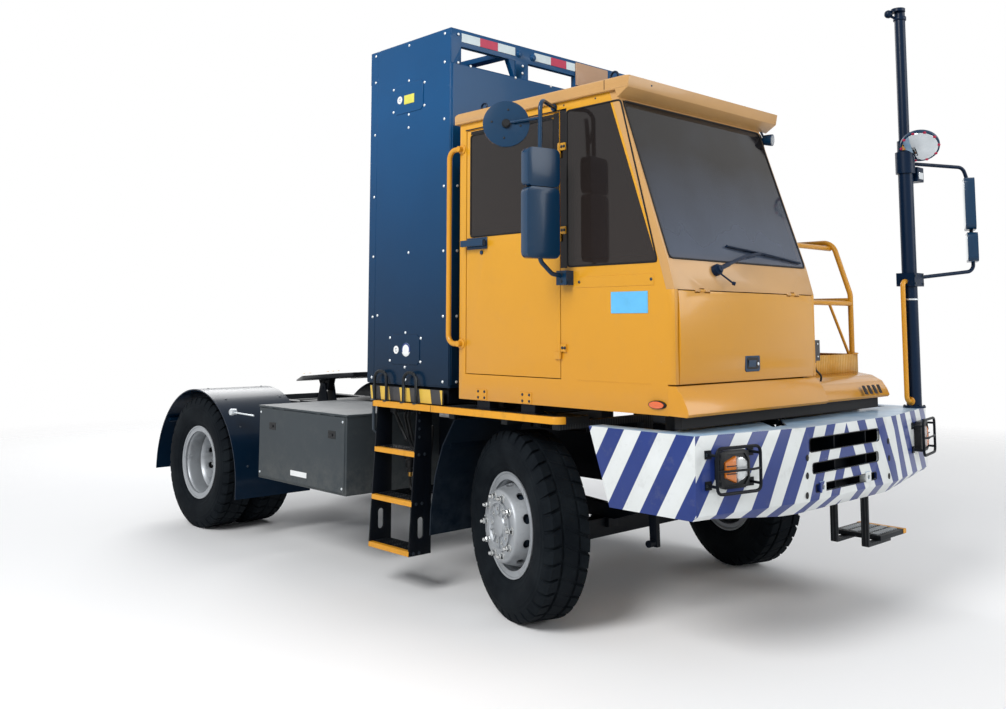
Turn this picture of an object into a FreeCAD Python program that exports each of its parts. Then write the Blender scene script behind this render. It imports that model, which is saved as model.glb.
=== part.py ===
# Battery-electric terminal tractor, two axles, offset forward-control cab on the right-hand side.
# Millimetres. Forward is -Y, the vehicle's left is +X, up is +Z. The pieces are saved with the ground
# at z = 0; the heights below are counted from a datum a little under the ground.
# The origin is on the ground under the middle of the whole vehicle, mirrors included.
import FreeCAD, Part
import math
import os
from FreeCAD import Vector

os.makedirs("parts", exist_ok=True)

# ---------------------------------------------------------------- driving dimensions
front_overhang = 1460.0        # bumper face to front axle
wheelbase = 3710.0
rear_overhang = 730.0          # rear axle to the end of the rear fender
mirror_lead = 147.0            # the mast mirrors stand this far ahead of the bumper

datum_drop = 28.0              # the datum of all heights lies this far under the ground
tyre_diameter = 1064.0
tyre_width = 295.0
tyre_crown_share = 0.82        # half the tread over half the section
shoulder_drop = 26.0
rim_width = 230.0              # over both flanges
rim_flange_radius = 298.0
bead_radius = 254.0
dual_spacing = 350.0           # between the centres of twin tyres
rear_track = 1920.0            # between the middles of the two pairs of twins

kingpin_half_track = 905.0
front_wheel_offset = 123.0     # kingpin to the centre of the front tyre
rest_steer_deg = 17.5          # the front wheels stand turned to the vehicle's right

frame_half_width = 425.0
frame_bottom = 750.0
frame_top = 1030.0
rail_wall = 10.0
rail_flange = 90.0

bumper_half_width = 1247.0
bumper_face_half = 495.0       # half the width of the flat front face
bumper_corner_setback = 144.0  # the slanted faces run this far back
bumper_side_length = 664.0
bumper_top = 1182.0
bumper_bottom = 740.0
bumper_side_bottom = 787.0
bumper_chamfer = 70.0
bumper_wall = 10.0

cab_right = -1230.0
cab_left = 90.0
cab_rear = 400.0               # behind the front axle
cab_bottom = 1264.0
cab_wall = 50.0
cab_nose = -1200.0             # flat front of the cab, ahead of the front axle
sill_y = -1160.0               # foot of the windshield
sill_z = 2025.0
header_y = -870.0              # head of the windshield
header_z = 2870.0
roof_bottom = 2925.0
roof_top = 2992.0
floor_top = 1324.0

door_front = -436.0
door_rear = 335.0
door_bottom = 1417.0
door_top = 2872.0
door_thickness = 40.0
door_sill_glass = 2225.0

tower_half_width = 1200.0
tower_front = 531.0
tower_rear = 1390.0
tower_bottom = 1318.0
tower_roof = 3354.0
tower_top = 3580.0

deck_top = 1410.0
deck_left = 909.0
mast_x = 1155.0
mast_y = -1286.0
mast_top = 3790.0

fender_centre_y = 6.0          # behind the rear axle
fender_centre_z = 440.0
fender_width = 675.0
fender_outer = 1290.0

coupling_height = 1276.0       # top of the coupling plate over its pivot
rest_tilt_deg = 4.6            # uncoupled, the plate droops towards the rear
kingpin_radius = 25.5
coupling_setback = 510.0       # the coupling centre is this far ahead of the rear axle

gap = 5.0                      # between a moving panel and its frame
swing_gap = 8.0                # at the edge that swings past its frame
seat_gap = 0.3                 # between pieces bolted together on a moving body
run_gap = 0.05                 # radial, at a pin or a shaft

# ---------------------------------------------------------------- derived stations
bumper_face = -(front_overhang + wheelbase + rear_overhang + mirror_lead) / 2 + mirror_lead
front_axle = bumper_face + front_overhang
rear_axle = front_axle + wheelbase
axle_height = datum_drop + tyre_diameter / 2


# ---------------------------------------------------------------- shape helpers
def box(x, y, z):
    """A block from three (low, high) ranges."""
    size = (x[1] - x[0], y[1] - y[0], z[1] - z[0])
    return Part.makeBox(size[0], size[1], size[2], Vector(x[0], y[0], z[0]))


def face_of(points):
    return Part.Face(Part.makePolygon([Vector(*p) for p in points] + [Vector(*points[0])]))


def prism_x(profile, x0, x1):
    """Extrude a closed (y, z) outline from x0 to x1."""
    return face_of([(x0, y, z) for y, z in profile]).extrude(Vector(x1 - x0, 0, 0))


def prism_y(profile, y0, y1):
    """Extrude a closed (x, z) outline from y0 to y1."""
    return face_of([(x, y0, z) for x, z in profile]).extrude(Vector(0, y1 - y0, 0))


def prism_z(profile, z0, z1):
    """Extrude a closed (x, y) outline from z0 to z1."""
    return face_of([(x, y, z0) for x, y in profile]).extrude(Vector(0, 0, z1 - z0))


def rod(start, end, radius):
    """A round bar between two points."""
    a = Vector(*start)
    b = Vector(*end)
    return Part.makeCylinder(radius, (b - a).Length, a, b - a)


def turned(profile, centre):
    """Revolve a closed (along X, radius) outline about the X axis through the centre."""
    cx, cy, cz = centre
    face = face_of([(cx + a, cy, cz + r) for a, r in profile])
    return face.revolve(Vector(*centre), Vector(1, 0, 0), 360)


def union(*shapes):
    result = shapes[0].multiFuse(list(shapes[1:])) if len(shapes) > 1 else shapes[0]
    return result.removeSplitter()


def mirrored(shape):
    """The same piece on the other side of the vehicle."""
    return shape.mirror(Vector(0, 0, 0), Vector(1, 0, 0))


def rounded(shape, axis, radius, keep=None):
    """Round the straight edges that run along one axis."""
    direction = {"x": Vector(1, 0, 0), "y": Vector(0, 1, 0), "z": Vector(0, 0, 1)}[axis]
    edges = []
    for edge in shape.Edges:
        if edge.Curve.TypeId != "Part::GeomLine":
            continue
        if abs(abs(edge.tangentAt(edge.FirstParameter).dot(direction)) - 1) > 1e-6:
            continue
        if keep is None or keep(edge.CenterOfMass):
            edges.append(edge)
    return shape.makeFillet(radius, edges)


def bent_tube(points, diameter, bend):
    """A round tube along straight runs joined by tangent arcs, drawn solid."""
    pts = [Vector(*p) for p in points]
    edges = []
    start = pts[0]
    for before, corner, after in zip(pts, pts[1:], pts[2:]):
        back = (before - corner).normalize()
        ahead = (after - corner).normalize()
        half_turn = (math.pi - back.getAngle(ahead)) / 2
        cut = bend * math.tan(half_turn)
        arc_start = corner + back * cut
        arc_end = corner + ahead * cut
        middle = (back + ahead).normalize()
        arc_middle = corner + middle * (bend / math.cos(half_turn) - bend)
        edges.append(Part.makeLine(start, arc_start))
        edges.append(Part.Arc(arc_start, arc_middle, arc_end).toShape())
        start = arc_end
    edges.append(Part.makeLine(start, pts[-1]))
    path = Part.Wire(edges)
    circle = Part.makeCircle(diameter / 2, pts[0], pts[1] - pts[0])
    tube = path.makePipeShell([Part.Wire(circle)], True, False)
    return tube


def inset(outline, margin):
    """Move every side of a convex counter-clockwise outline inwards."""
    count = len(outline)
    lines = []
    for i in range(count):
        ax, ay = outline[i]
        bx, by = outline[(i + 1) % count]
        length = math.hypot(bx - ax, by - ay)
        nx = -(by - ay) / length
        ny = (bx - ax) / length
        lines.append((ax + nx * margin, ay + ny * margin, bx - ax, by - ay))
    result = []
    for i in range(count):
        px, py, dx, dy = lines[i - 1]
        qx, qy, ex, ey = lines[i]
        t = ((qx - px) * ey - (qy - py) * ex) / (dx * ey - dy * ex)
        result.append((px + dx * t, py + dy * t))
    return result


def save(name, *solids):
    """Write a piece with its heights counted from the ground."""
    shape = solids[0] if len(solids) == 1 else Part.makeCompound(list(solids))
    shape = shape.translated(Vector(0, 0, -datum_drop))
    shape.exportStep("parts/" + name + ".step")


def fy(y):
    """A station given from the front axle."""
    return front_axle + y


def ry(y):
    """A station given from the rear axle."""
    return rear_axle + y


# ---------------------------------------------------------------- chassis frame
rail_front = bumper_face + bumper_wall
rail_rear = ry(650)
hanger_y = 640.0               # spring eyes, ahead of and behind the front axle
cheek_thickness = 10.0
cheek_gap = 2.0
spring_x = frame_half_width - rail_flange / 2          # the hanger cheeks sit on the rail's flange
spring_width = rail_flange - 2 * (cheek_thickness + cheek_gap) - 2
eye_z = 690.0


def make_rail():
    """The left rail: a channel that opens inwards, with its two spring hangers."""
    x = (frame_half_width - rail_flange, frame_half_width)
    rail = box(x, (rail_front, rail_rear), (frame_bottom, frame_top))
    hollow = box((x[0] - 1, x[1] - rail_wall), (rail_front - 1, rail_rear + 1),
                 (frame_bottom + rail_wall, frame_top - rail_wall))
    rail = rail.cut(hollow)
    chamfer = prism_x([(rail_front - 1, frame_bottom - 1), (rail_front + bumper_chamfer, frame_bottom - 1),
                       (rail_front - 1, bumper_bottom + bumper_chamfer + 4)], x[0] - 1, x[1] + 1)
    rail = rail.cut(chamfer)
    hangers = []
    for y in (fy(-hanger_y), fy(hanger_y)):
        reach = spring_width / 2 + cheek_gap
        for cheek in (spring_x - reach - cheek_thickness, spring_x + reach):
            plate = prism_x([(y - 60, frame_bottom), (y - 35, eye_z - 35),
                             (y + 35, eye_z - 35), (y + 60, frame_bottom)],
                            cheek, cheek + cheek_thickness)
            hangers.append(plate)
        hangers.append(rod((spring_x - reach - cheek_thickness, y, eye_z),
                           (spring_x + reach + cheek_thickness, y, eye_z), 14))
    return union(rail, *hangers)


left_rail = make_rail()
save("chassis_rail_left", left_rail)
save("chassis_rail_right", mirrored(left_rail))

web = frame_half_width - rail_wall
member_z = (frame_bottom + 40, frame_top - 40)
member_depth = 80.0
member_stations = [fy(-1300), fy(-650), fy(650), fy(1400), ry(-1100), ry(-500), ry(500)]
cross_members = []
for station in member_stations:
    member = box((-web, web), (station - member_depth / 2, station + member_depth / 2), member_z)
    core = box((-web - 1, web + 1),
               (station - member_depth / 2 + 8, station + member_depth / 2 - 8),
               (member_z[0] + 8, member_z[1] - 8))
    cross_members.append(member.cut(core))
tail_bar = union(box((-590, 590), (rail_rear, rail_rear + 8), (frame_bottom, frame_bottom + 170)),
                 box((-frame_half_width, frame_half_width), (rail_rear, rail_rear + 20),
                     (frame_bottom, frame_top)))
save("cross_members", *cross_members, tail_bar)

# ---------------------------------------------------------------- front axle
pin_radius = 24.0
eye_radius = 48.0
eye_half = 74.0
lug_outer = 115.0
beam_drop = 90.0
beam_depth = 90.0
beam_height = 110.0
pad_top = axle_height - beam_drop + beam_height / 2


def make_front_beam():
    k = kingpin_half_track
    low = axle_height - beam_drop
    h = beam_height / 2
    outline = [(-k, axle_height - 50), (-k + 130, axle_height - 50), (-k + 240, low - h),
               (k - 240, low - h), (k - 130, axle_height - 50), (k, axle_height - 50),
               (k, axle_height + 50), (k - 140, axle_height + 50), (k - 260, low + h),
               (-k + 260, low + h), (-k + 140, axle_height + 50), (-k, axle_height + 50)]
    beam = prism_y(outline, fy(-beam_depth / 2), fy(beam_depth / 2))
    parts = [beam]
    for side in (-1, 1):
        x = side * k
        parts.append(rod((x, fy(0), axle_height - eye_half), (x, fy(0), axle_height + eye_half),
                         eye_radius))
        parts.append(rod((x, fy(0), axle_height - lug_outer - 6),
                         (x, fy(0), axle_height + lug_outer + 6), pin_radius))
        parts.append(box((side * spring_x - 45, side * spring_x + 45), (fy(-75), fy(75)),
                         (low, pad_top)))
    return union(*parts)


front_beam = make_front_beam()
save("front_axle_beam", front_beam)


def make_front_spring():
    """A leaf pack, thick in the middle, hung from its two eyes."""
    x0 = spring_x - spring_width / 2
    top = [(-hanger_y, eye_z + 22), (-300, eye_z - 58), (0, eye_z - 80), (300, eye_z - 58),
           (hanger_y, eye_z + 22)]
    bottom = [(hanger_y, eye_z + 4), (420, eye_z - 66), (110, pad_top), (-110, pad_top),
              (-420, eye_z - 66), (-hanger_y, eye_z + 4)]
    pack = prism_x([(fy(y), z) for y, z in top + bottom], x0, x0 + spring_width)
    parts = [pack]
    for y in (-hanger_y, hanger_y):
        parts.append(rod((x0, fy(y), eye_z), (x0 + spring_width, fy(y), eye_z), 26))
    spring = union(*parts)
    for y in (-hanger_y, hanger_y):
        spring = spring.cut(rod((x0 - 1, fy(y), eye_z), (x0 + spring_width + 1, fy(y), eye_z), 14))
    return spring


front_spring = make_front_spring()
save("front_springs", front_spring, mirrored(front_spring))

# ---------------------------------------------------------------- wheels
rim_half = rim_width / 2
flange_thickness = 7.0
tyre_seat_half = rim_half - flange_thickness
disc_face = (dual_spacing - seat_gap) / 2   # mounting face of the disc, from the middle of the rim
hub_radius = 140.0
disc_wall = 14.0
drum_radius = 200.0
drum_inboard = -212.0          # hub stations, outwards from the mounting face of the disc
drum_web = -80.0
spindle_radius = 45.0
rear_spindle_radius = 60.0
hand_hole_circle = 219.0
hand_hole_radius = 18.0


def make_tyre(centre):
    """A tyre as one solid ring, with a rounded sidewall and shoulder."""
    radius = tyre_diameter / 2
    half = tyre_width / 2
    crown = half * tyre_crown_share
    belly = (bead_radius + radius) / 2 + 20
    cx, cy, cz = centre

    def at(a, r):
        return Vector(cx + a, cy, cz + r)

    seat = bead_radius + seat_gap
    edges = [Part.makeLine(at(-tyre_seat_half + 1, seat), at(tyre_seat_half - 1, seat)),
             Part.makeLine(at(tyre_seat_half - 1, seat), at(tyre_seat_half - 1, rim_flange_radius))]
    edges.append(Part.Arc(at(tyre_seat_half - 1, rim_flange_radius), at(half, belly),
                          at(crown + 8, radius - shoulder_drop)).toShape())
    edges.append(Part.makeLine(at(crown + 8, radius - shoulder_drop), at(crown - 10, radius)))
    edges.append(Part.makeLine(at(crown - 10, radius), at(-crown + 10, radius)))
    edges.append(Part.makeLine(at(-crown + 10, radius), at(-crown - 8, radius - shoulder_drop)))
    edges.append(Part.Arc(at(-crown - 8, radius - shoulder_drop), at(-half, belly),
                          at(-tyre_seat_half + 1, rim_flange_radius)).toShape())
    edges.append(Part.makeLine(at(-tyre_seat_half + 1, rim_flange_radius),
                               at(-tyre_seat_half + 1, seat)))
    face = Part.Face(Part.Wire(edges))
    return face.revolve(Vector(*centre), Vector(1, 0, 0), 360)


def make_rim(centre, outward):
    """A pressed disc wheel; outward is +1 where its mounting face is towards +X."""
    inner = bead_radius - 12
    barrel = [(-rim_half, rim_flange_radius), (-rim_half, rim_flange_radius - 14),
              (-rim_half + 22, inner), (rim_half - 22, inner), (rim_half, rim_flange_radius - 14),
              (rim_half, rim_flange_radius), (tyre_seat_half, rim_flange_radius),
              (tyre_seat_half, bead_radius), (-tyre_seat_half, bead_radius),
              (-tyre_seat_half, rim_flange_radius)]
    face_a = disc_face
    disc = [(35, inner + 2), (60, inner - 6), (face_a - 22, 207), (face_a, 196),
            (face_a, hub_radius + seat_gap), (face_a - disc_wall, hub_radius + seat_gap),
            (face_a - disc_wall, 190), (face_a - disc_wall - 22, 198),
            (50, inner - 22), (22, inner + 2)]
    rim = union(turned([(outward * a, r) for a, r in barrel], centre),
                turned([(outward * a, r) for a, r in disc], centre))
    cx, cy, cz = centre
    holes = []
    for i in range(10):
        angle = math.radians(36 * i + 18)
        y = cy + hand_hole_circle * math.cos(angle)
        z = cz + hand_hole_circle * math.sin(angle)
        holes.append(rod((cx + outward * 40, y, z), (cx + outward * 190, y, z), hand_hole_radius))
    return rim.cut(Part.makeCompound(holes))


# the nose of each hub, outwards from the mounting face of the disc
front_nose = [(8.0, hub_radius), (8.0, 126.0), (-4.0, 122.0), (-4.0, 66.0), (6.0, 58.0), (6.0, 0.0)]
rear_nose = [(18.0, hub_radius), (26.0, 112.0), (108.0, 104.0), (120.0, 92.0), (120.0, 0.0)]


def make_hub(face_x, centre, nose, spindle_end, bore, side):
    """Hub and brake drum; offsets run outwards along X from face_x on the given side."""
    flange = -disc_wall - seat_gap
    profile = [(drum_inboard, drum_radius), (drum_web, drum_radius), (drum_web + 16, 184),
               (flange, 184), (flange, hub_radius)] + nose
    profile += [(spindle_end, 0.0), (spindle_end, bore), (drum_web - 16, bore),
                (drum_web - 16, drum_radius - 15), (drum_inboard, drum_radius - 15)]
    return turned([(face_x - centre[0] + side * a, r) for a, r in profile], centre)


def steered(shape, side):
    """Turn a piece of the front wheel about its kingpin into the rest pose."""
    turned_shape = shape.copy()
    turned_shape.rotate(Vector(side * kingpin_half_track, front_axle, 0), Vector(0, 0, 1),
                        -rest_steer_deg)
    return turned_shape


arm_back = 150.0               # tie-rod stud straight behind the kingpin
arm_thickness = 24.0
stud_radius = 14.0
stud_length = 44.0             # below the arm


def make_knuckle(side):
    """Kingpin lugs, brake backplate, spindle and tie-rod arm, drawn straight ahead."""
    k = side * kingpin_half_track
    y = front_axle
    z = axle_height
    lug_gap = 1.0
    parts = []
    for low, high in ((eye_half + lug_gap, lug_outer), (-lug_outer, -eye_half - lug_gap)):
        parts.append(rod((k, y, z + low), (k, y, z + high), eye_radius))
        plate = box((min(k, k + side * 85), max(k, k + side * 85)), (y - 44, y + 44),
                    (z + low, z + high))
        parts.append(plate)
    web_x = sorted((k + side * 58, k + side * 85))
    parts.append(box(web_x, (y - 50, y + 50), (z - lug_outer, z + lug_outer)))
    parts.append(rod((k + side * 62, y, z), (k + side * 70, y, z), drum_radius - 3))
    parts.append(rod((k + side * 60, y, z), (k + side * 285, y, z), spindle_radius))
    arm_low = z - lug_outer
    stud_y = y + arm_back
    parts.append(prism_z([(k - 42, y + 10), (k + 42, y + 10), (k + 26, stud_y), (k - 26, stud_y)],
                         arm_low, arm_low + arm_thickness))
    parts.append(rod((k, stud_y, arm_low), (k, stud_y, arm_low + arm_thickness), 26))
    parts.append(rod((k, stud_y, arm_low - stud_length), (k, stud_y, arm_low + 5), stud_radius))
    knuckle = union(*parts)
    pin_bore = rod((k, y, z - lug_outer - 1), (k, y, z + lug_outer + 1), pin_radius + run_gap)
    return knuckle.cut(pin_bore)


for side, name in ((-1, "right"), (1, "left")):
    centre = (side * (kingpin_half_track + front_wheel_offset), front_axle, axle_height)
    face_x = centre[0] + side * disc_face
    save("front_tyre_" + name, steered(make_tyre(centre), side))
    hub = make_hub(face_x, centre, front_nose, -9.0, spindle_radius + run_gap, side)
    save("front_wheel_" + name, steered(make_rim(centre, side), side), steered(hub, side))
    save("steering_knuckle_" + name, steered(make_knuckle(side), side))

    middle = side * rear_track / 2
    outer = (middle + side * dual_spacing / 2, rear_axle, axle_height)
    inner = (middle - side * dual_spacing / 2, rear_axle, axle_height)
    save("rear_tyres_" + name, make_tyre(outer), make_tyre(inner))
    hub = make_hub(inner[0] + side * disc_face, inner, rear_nose, 70.0, rear_spindle_radius + run_gap, side)
    save("rear_wheels_" + name, make_rim(outer, -side), make_rim(inner, side), hub)

# the tie rod keeps parallel to the axle: it is drawn where the steered arms hold it
turn = math.radians(-rest_steer_deg)
rod_z = axle_height - lug_outer - 26
tie_radius = 18.0
tie_eye_radius = 30.0
tie_eye_half = 22.0


def make_tie_rod():
    shift = -arm_back * math.sin(turn)
    y = front_axle + arm_back * math.cos(turn)
    studs = (shift - kingpin_half_track, shift + kingpin_half_track)
    bar = rod((studs[0], y, rod_z), (studs[1], y, rod_z), tie_radius)
    for x in studs:
        bar = union(bar, rod((x, y, rod_z - tie_eye_half), (x, y, rod_z + tie_eye_half), tie_eye_radius))
    for x in studs:
        bar = bar.cut(rod((x, y, rod_z - 60), (x, y, rod_z + 60), stud_radius + run_gap))
    return bar


save("tie_rod", make_tie_rod())

# ---------------------------------------------------------------- rear axle and drive
rear_spindle_tip = rear_track / 2 + 55


def make_rear_axle():
    tube = rod((-rear_track / 2 + 240, rear_axle, axle_height),
               (rear_track / 2 - 240, rear_axle, axle_height), 80)
    spindles = rod((-rear_spindle_tip, rear_axle, axle_height),
                   (rear_spindle_tip, rear_axle, axle_height), rear_spindle_radius)
    bulge = Part.makeSphere(215, Vector(0, rear_axle, axle_height), Vector(1, 0, 0))
    bulge = bulge.common(box((-160, 160), (rear_axle - 300, rear_axle + 300),
                             (axle_height - 300, axle_height + 300)))
    nose = rod((0, rear_axle - 330, axle_height + 20), (0, rear_axle, axle_height), 105)
    parts = [tube, spindles, bulge, nose]
    for side in (-1, 1):
        x = side * spring_x
        parts.append(box((x - 60, x + 60), (rear_axle - 90, rear_axle + 90),
                         (axle_height - 95, frame_bottom)))
        plate_x = side * (rear_track / 2 - 245)
        parts.append(rod((plate_x, rear_axle, axle_height),
                         (plate_x + side * 8, rear_axle, axle_height), drum_radius - 3))
    return union(*parts)


rear_axle_solid = make_rear_axle()
save("rear_axle", rear_axle_solid)

motor_y = (fy(1560), fy(2180))
motor_z = 800.0
motor_radius = 200.0
shaft_radius = 45.0


def make_motor():
    body = rod((0, motor_y[0], motor_z), (0, motor_y[1], motor_z), motor_radius)
    lugs = box((-web, web), (motor_y[0] + 120, motor_y[0] + 220), (motor_z - 30, motor_z + 60))
    flange = rod((0, motor_y[1], motor_z), (0, motor_y[1] + 30, motor_z), 80)
    return union(body, lugs, flange)


save("drive_motor", make_motor())
propshaft = union(rod((0, motor_y[1] + 30, motor_z), (0, motor_y[1] + 60, motor_z), 70),
                  rod((0, motor_y[1] + 50, motor_z), (0, rear_axle - 350, axle_height + 20), shaft_radius),
                  rod((0, rear_axle - 370, axle_height + 20), (0, rear_axle - 330, axle_height + 20), 70))
save("propshaft", propshaft.cut(rear_axle_solid))

# ---------------------------------------------------------------- front bumper
bumper_side_y = bumper_face + bumper_corner_setback
bumper_side_end = bumper_side_y + bumper_side_length
shelf_depth = 356.0
shelf_inset = 110.0            # width of the ledge along each side panel
tail_rake = 136.0              # the slanted rear edge of the side panels
notch_setback = 130.0          # a slanted notch in the shelf, open to the rear
notch_front_x = (-590.0, -455.0)
notch_rear_x = (-350.0, -150.0)
bumper_slots = ((1089.0, 70.0, -462.0, 300.0), (970.0, 54.0, -436.0, 283.0),
                (867.0, 40.0, -408.0, 253.0))      # centre height, height, both ends


def bumper_outline(shrink):
    """Plan of the bumper; shrink moves its faces inwards."""
    slope = bumper_corner_setback / (bumper_half_width - bumper_face_half)
    lean = math.hypot(slope, 1.0)
    half = bumper_half_width - shrink
    front = bumper_face + shrink
    face_half = bumper_face_half + shrink * (1 - lean) / slope
    side_y = front + slope * (half - face_half)
    end = bumper_side_end + 1 if shrink else bumper_side_end
    return [(-half, end), (-half, side_y), (-face_half, front),
            (face_half, front), (half, side_y), (half, end)]


def bumper_block(shrink, top):
    """The outer or inner body of the bumper with its lower front chamfer."""
    block = prism_z(bumper_outline(shrink), bumper_bottom - (1 if shrink else 0), top)
    rise = bumper_bottom + bumper_chamfer
    reach = bumper_half_width + 200
    y = bumper_face + shrink
    profile = [(y - 80, bumper_bottom - 60), (y + bumper_chamfer + 10, bumper_bottom - 60),
               (y + bumper_chamfer, bumper_bottom), (y, rise), (y - 80, rise)]
    slope_angle = math.degrees(math.atan2(bumper_corner_setback, bumper_half_width - bumper_face_half))
    for side in (-1, 0, 1):
        wedge = prism_x(profile, -reach, reach)
        wedge.rotate(Vector(side * bumper_face_half, y, 0), Vector(0, 0, 1), side * slope_angle)
        block = block.cut(wedge)
    return block


def make_bumper():
    outer = bumper_block(0, bumper_top)
    inner = bumper_block(bumper_wall, bumper_top - bumper_wall)
    back = bumper_face + shelf_depth
    shell = outer.cut(inner)
    # the top plate is a shelf at the front and a narrow ledge along the sides
    well_half = bumper_half_width - shelf_inset
    well = box((-well_half, well_half), (back, bumper_side_end + 50),
               (bumper_top - 50, bumper_top + 10))
    shell = shell.cut(well)
    # the side panels end in a slanted edge, higher than the front
    reach = bumper_half_width + 50
    rake_foot = bumper_side_end - tail_rake
    tail = prism_x([(bumper_side_y - 72, bumper_bottom - 20),
                    (bumper_side_end + 50, bumper_bottom - 20),
                    (bumper_side_end + 50, bumper_top + 20), (bumper_side_end + 7, bumper_top + 20),
                    (rake_foot, bumper_side_bottom), (bumper_side_y, bumper_side_bottom)], -reach, reach)
    shell = shell.cut(tail)
    slots = []
    for centre_z, height, low_x, high_x in bumper_slots:
        slot = box((low_x, high_x), (bumper_face - 5, bumper_face + bumper_wall + 5),
                   (centre_z - height / 2, centre_z + height / 2))
        slots.append(rounded(slot, "y", height * 0.28))
    shell = shell.cut(Part.makeCompound(slots))
    notch_front = bumper_face + notch_setback
    notch = prism_z([(notch_front_x[0], notch_front), (notch_front_x[1], notch_front),
                     (notch_rear_x[1], back + 5), (notch_rear_x[0], back + 5)],
                    bumper_top - bumper_wall - 5, bumper_top + 5)
    return shell.cut(notch)


bumper = make_bumper()

tow_eye_radius = 13.0
tow_eye_x = (-345.0, 150.0)
tow_eye_z = 870.0
tow_block = 56.0               # width and height of each block
tow_proud = 8.0                # ahead of the bumper face
tow_depth = 40.0


def make_tow_eye(x):
    """A square block set in the lowest slot, with a towing socket that faces forward."""
    half = tow_block / 2
    front = bumper_face - tow_proud
    block = box((x - half, x + half), (front, front + tow_depth), (tow_eye_z - half, tow_eye_z + half))
    block = rounded(block, "y", 6)
    return block.cut(rod((x, front - 1, tow_eye_z), (x, front + tow_depth + 1, tow_eye_z), tow_eye_radius))


for x in tow_eye_x:
    bumper = bumper.fuse(make_tow_eye(x))
save("front_bumper", bumper.removeSplitter())

lamp_z = (935.0, 1105.0)
lamp_inner = 940.0
lamp_outer = 1120.0
lamp_depth = 40.0


def make_headlamp():
    """The left lamp housing, seated square on the slanted face."""
    slope = bumper_corner_setback / (bumper_half_width - bumper_face_half)
    angle = math.degrees(math.atan(slope))
    width = (lamp_outer - lamp_inner) / math.cos(math.radians(angle))
    start = (lamp_inner, bumper_face + slope * (lamp_inner - bumper_face_half))
    housing = box((start[0], start[0] + width), (start[1] - lamp_depth, start[1]), lamp_z)
    housing = rounded(housing, "y", 14)
    housing.rotate(Vector(start[0], start[1], 0), Vector(0, 0, 1), angle)
    return housing


headlamp = make_headlamp()
save("headlamps", headlamp, mirrored(headlamp))

# ---------------------------------------------------------------- cab
glass = 6.0
lap = 40.0                     # how far a bonded pane overlaps its opening
header_run = (header_y - sill_y) / (header_z - sill_z)


def screen_y(z, depth=0.0):
    """The windshield plane, moved inwards by a depth measured square to it."""
    return sill_y + (z - sill_z) * header_run + depth * math.hypot(1.0, header_run)


def shifted(profile):
    return [(fy(y), z) for y, z in profile]


nose_split = 1877.0            # top of the hatch opening
hatch_bottom = 1415.0
hatch_side = 25.0              # the corner of the cab beside the hatch
corner = cab_nose + cab_wall

side_profile = [(cab_rear, cab_bottom), (cab_rear, roof_bottom),
                (screen_y(roof_bottom, cab_wall), roof_bottom),
                (screen_y(sill_z, cab_wall), sill_z), (corner, nose_split), (corner, cab_bottom)]
window_top = 2872.0
pillar_width = 50.0            # between the door opening and the side window
side_pane_low = 2014.0
side_pane_rear = door_front - gap - pillar_width
side_pane = [(side_pane_rear, side_pane_low), (side_pane_rear, window_top),
             (screen_y(window_top, cab_wall + 14), window_top),
             (screen_y(side_pane_low, cab_wall + 14), side_pane_low)]


def pane_prism(profile, x0, x1):
    return prism_x(shifted(profile), x0, x1)


rear_side_pane = [(300.0, door_sill_glass), (300.0, 2850.0), (-380.0, 2850.0), (-380.0, door_sill_glass)]


def make_side_wall(right):
    """One side of the cab, with its window cut and a rebate for the bonded glass."""
    outer = cab_right if right else cab_left
    inward = 1 if right else -1
    inner = outer + inward * cab_wall
    x = sorted((outer, inner))
    wall = prism_x(shifted(side_profile), x[0], x[1])
    corner_x = sorted((outer, outer + inward * hatch_side))
    wall = union(wall, box(corner_x, (fy(cab_nose), fy(corner)), (hatch_bottom, nose_split)))
    rebate = sorted((outer - inward, outer + inward * glass))
    through = (x[0] - 1, x[1] + 1)
    for pane in ([side_pane] if right else [side_pane, rear_side_pane]):
        wall = wall.cut(pane_prism(pane, rebate[0], rebate[1]))
        wall = wall.cut(pane_prism(inset(pane, lap), through[0], through[1]))
    if right:
        wall = wall.cut(box(through, (fy(door_front - gap), fy(door_rear + swing_gap)),
                            (door_bottom - gap, door_top + gap)))
    return wall


right_wall = make_side_wall(True)
save("cab_left_wall", make_side_wall(False))

inner_x = (cab_right + cab_wall, cab_left - cab_wall)
save("cab_rear_wall", box(inner_x, (fy(cab_rear - cab_wall), fy(cab_rear)), (cab_bottom, roof_bottom)))
service_depth = 90.0           # room behind the front flap
bulkhead_wall = 30.0
bulkhead_rear = corner + service_depth + bulkhead_wall
shelf_wall = 12.0


def make_floor():
    """Floor slab with the upright bulkhead and the shelf that closes the service space."""
    slab = box(inner_x, (fy(corner), fy(cab_rear - cab_wall)), (cab_bottom, floor_top))
    bulkhead = box(inner_x, (fy(bulkhead_rear - bulkhead_wall), fy(bulkhead_rear)), (floor_top, nose_split))
    shelf = box(inner_x, (fy(corner - gap), fy(bulkhead_rear)), (nose_split - shelf_wall, nose_split))
    return union(slab, bulkhead, shelf)


save("cab_floor", make_floor())

frame_profile = [(cab_nose, nose_split), (corner, nose_split), (screen_y(sill_z, cab_wall), sill_z),
                 (screen_y(roof_bottom, cab_wall), roof_bottom), (screen_y(roof_bottom), roof_bottom),
                 (sill_y, sill_z)]
screen_x = (cab_right + 18, cab_left - 18)


def screen_prism(low_z, high_z, depth_low, depth_high, x):
    """A slab that lies along the windshield plane."""
    return prism_x(shifted([(screen_y(low_z, depth_low), low_z), (screen_y(low_z, depth_high), low_z),
                            (screen_y(high_z, depth_high), high_z), (screen_y(high_z, depth_low), high_z)]),
                   x[0], x[1])


flap_hinge_x = (cab_right + 230, cab_left - 230)
flap_knuckle = 40.0
flap_barrel = 7.0
flap_pin = 3.0
flap_axis_y = cab_nose + 2
flap_axis_z = nose_split - gap / 2


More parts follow.
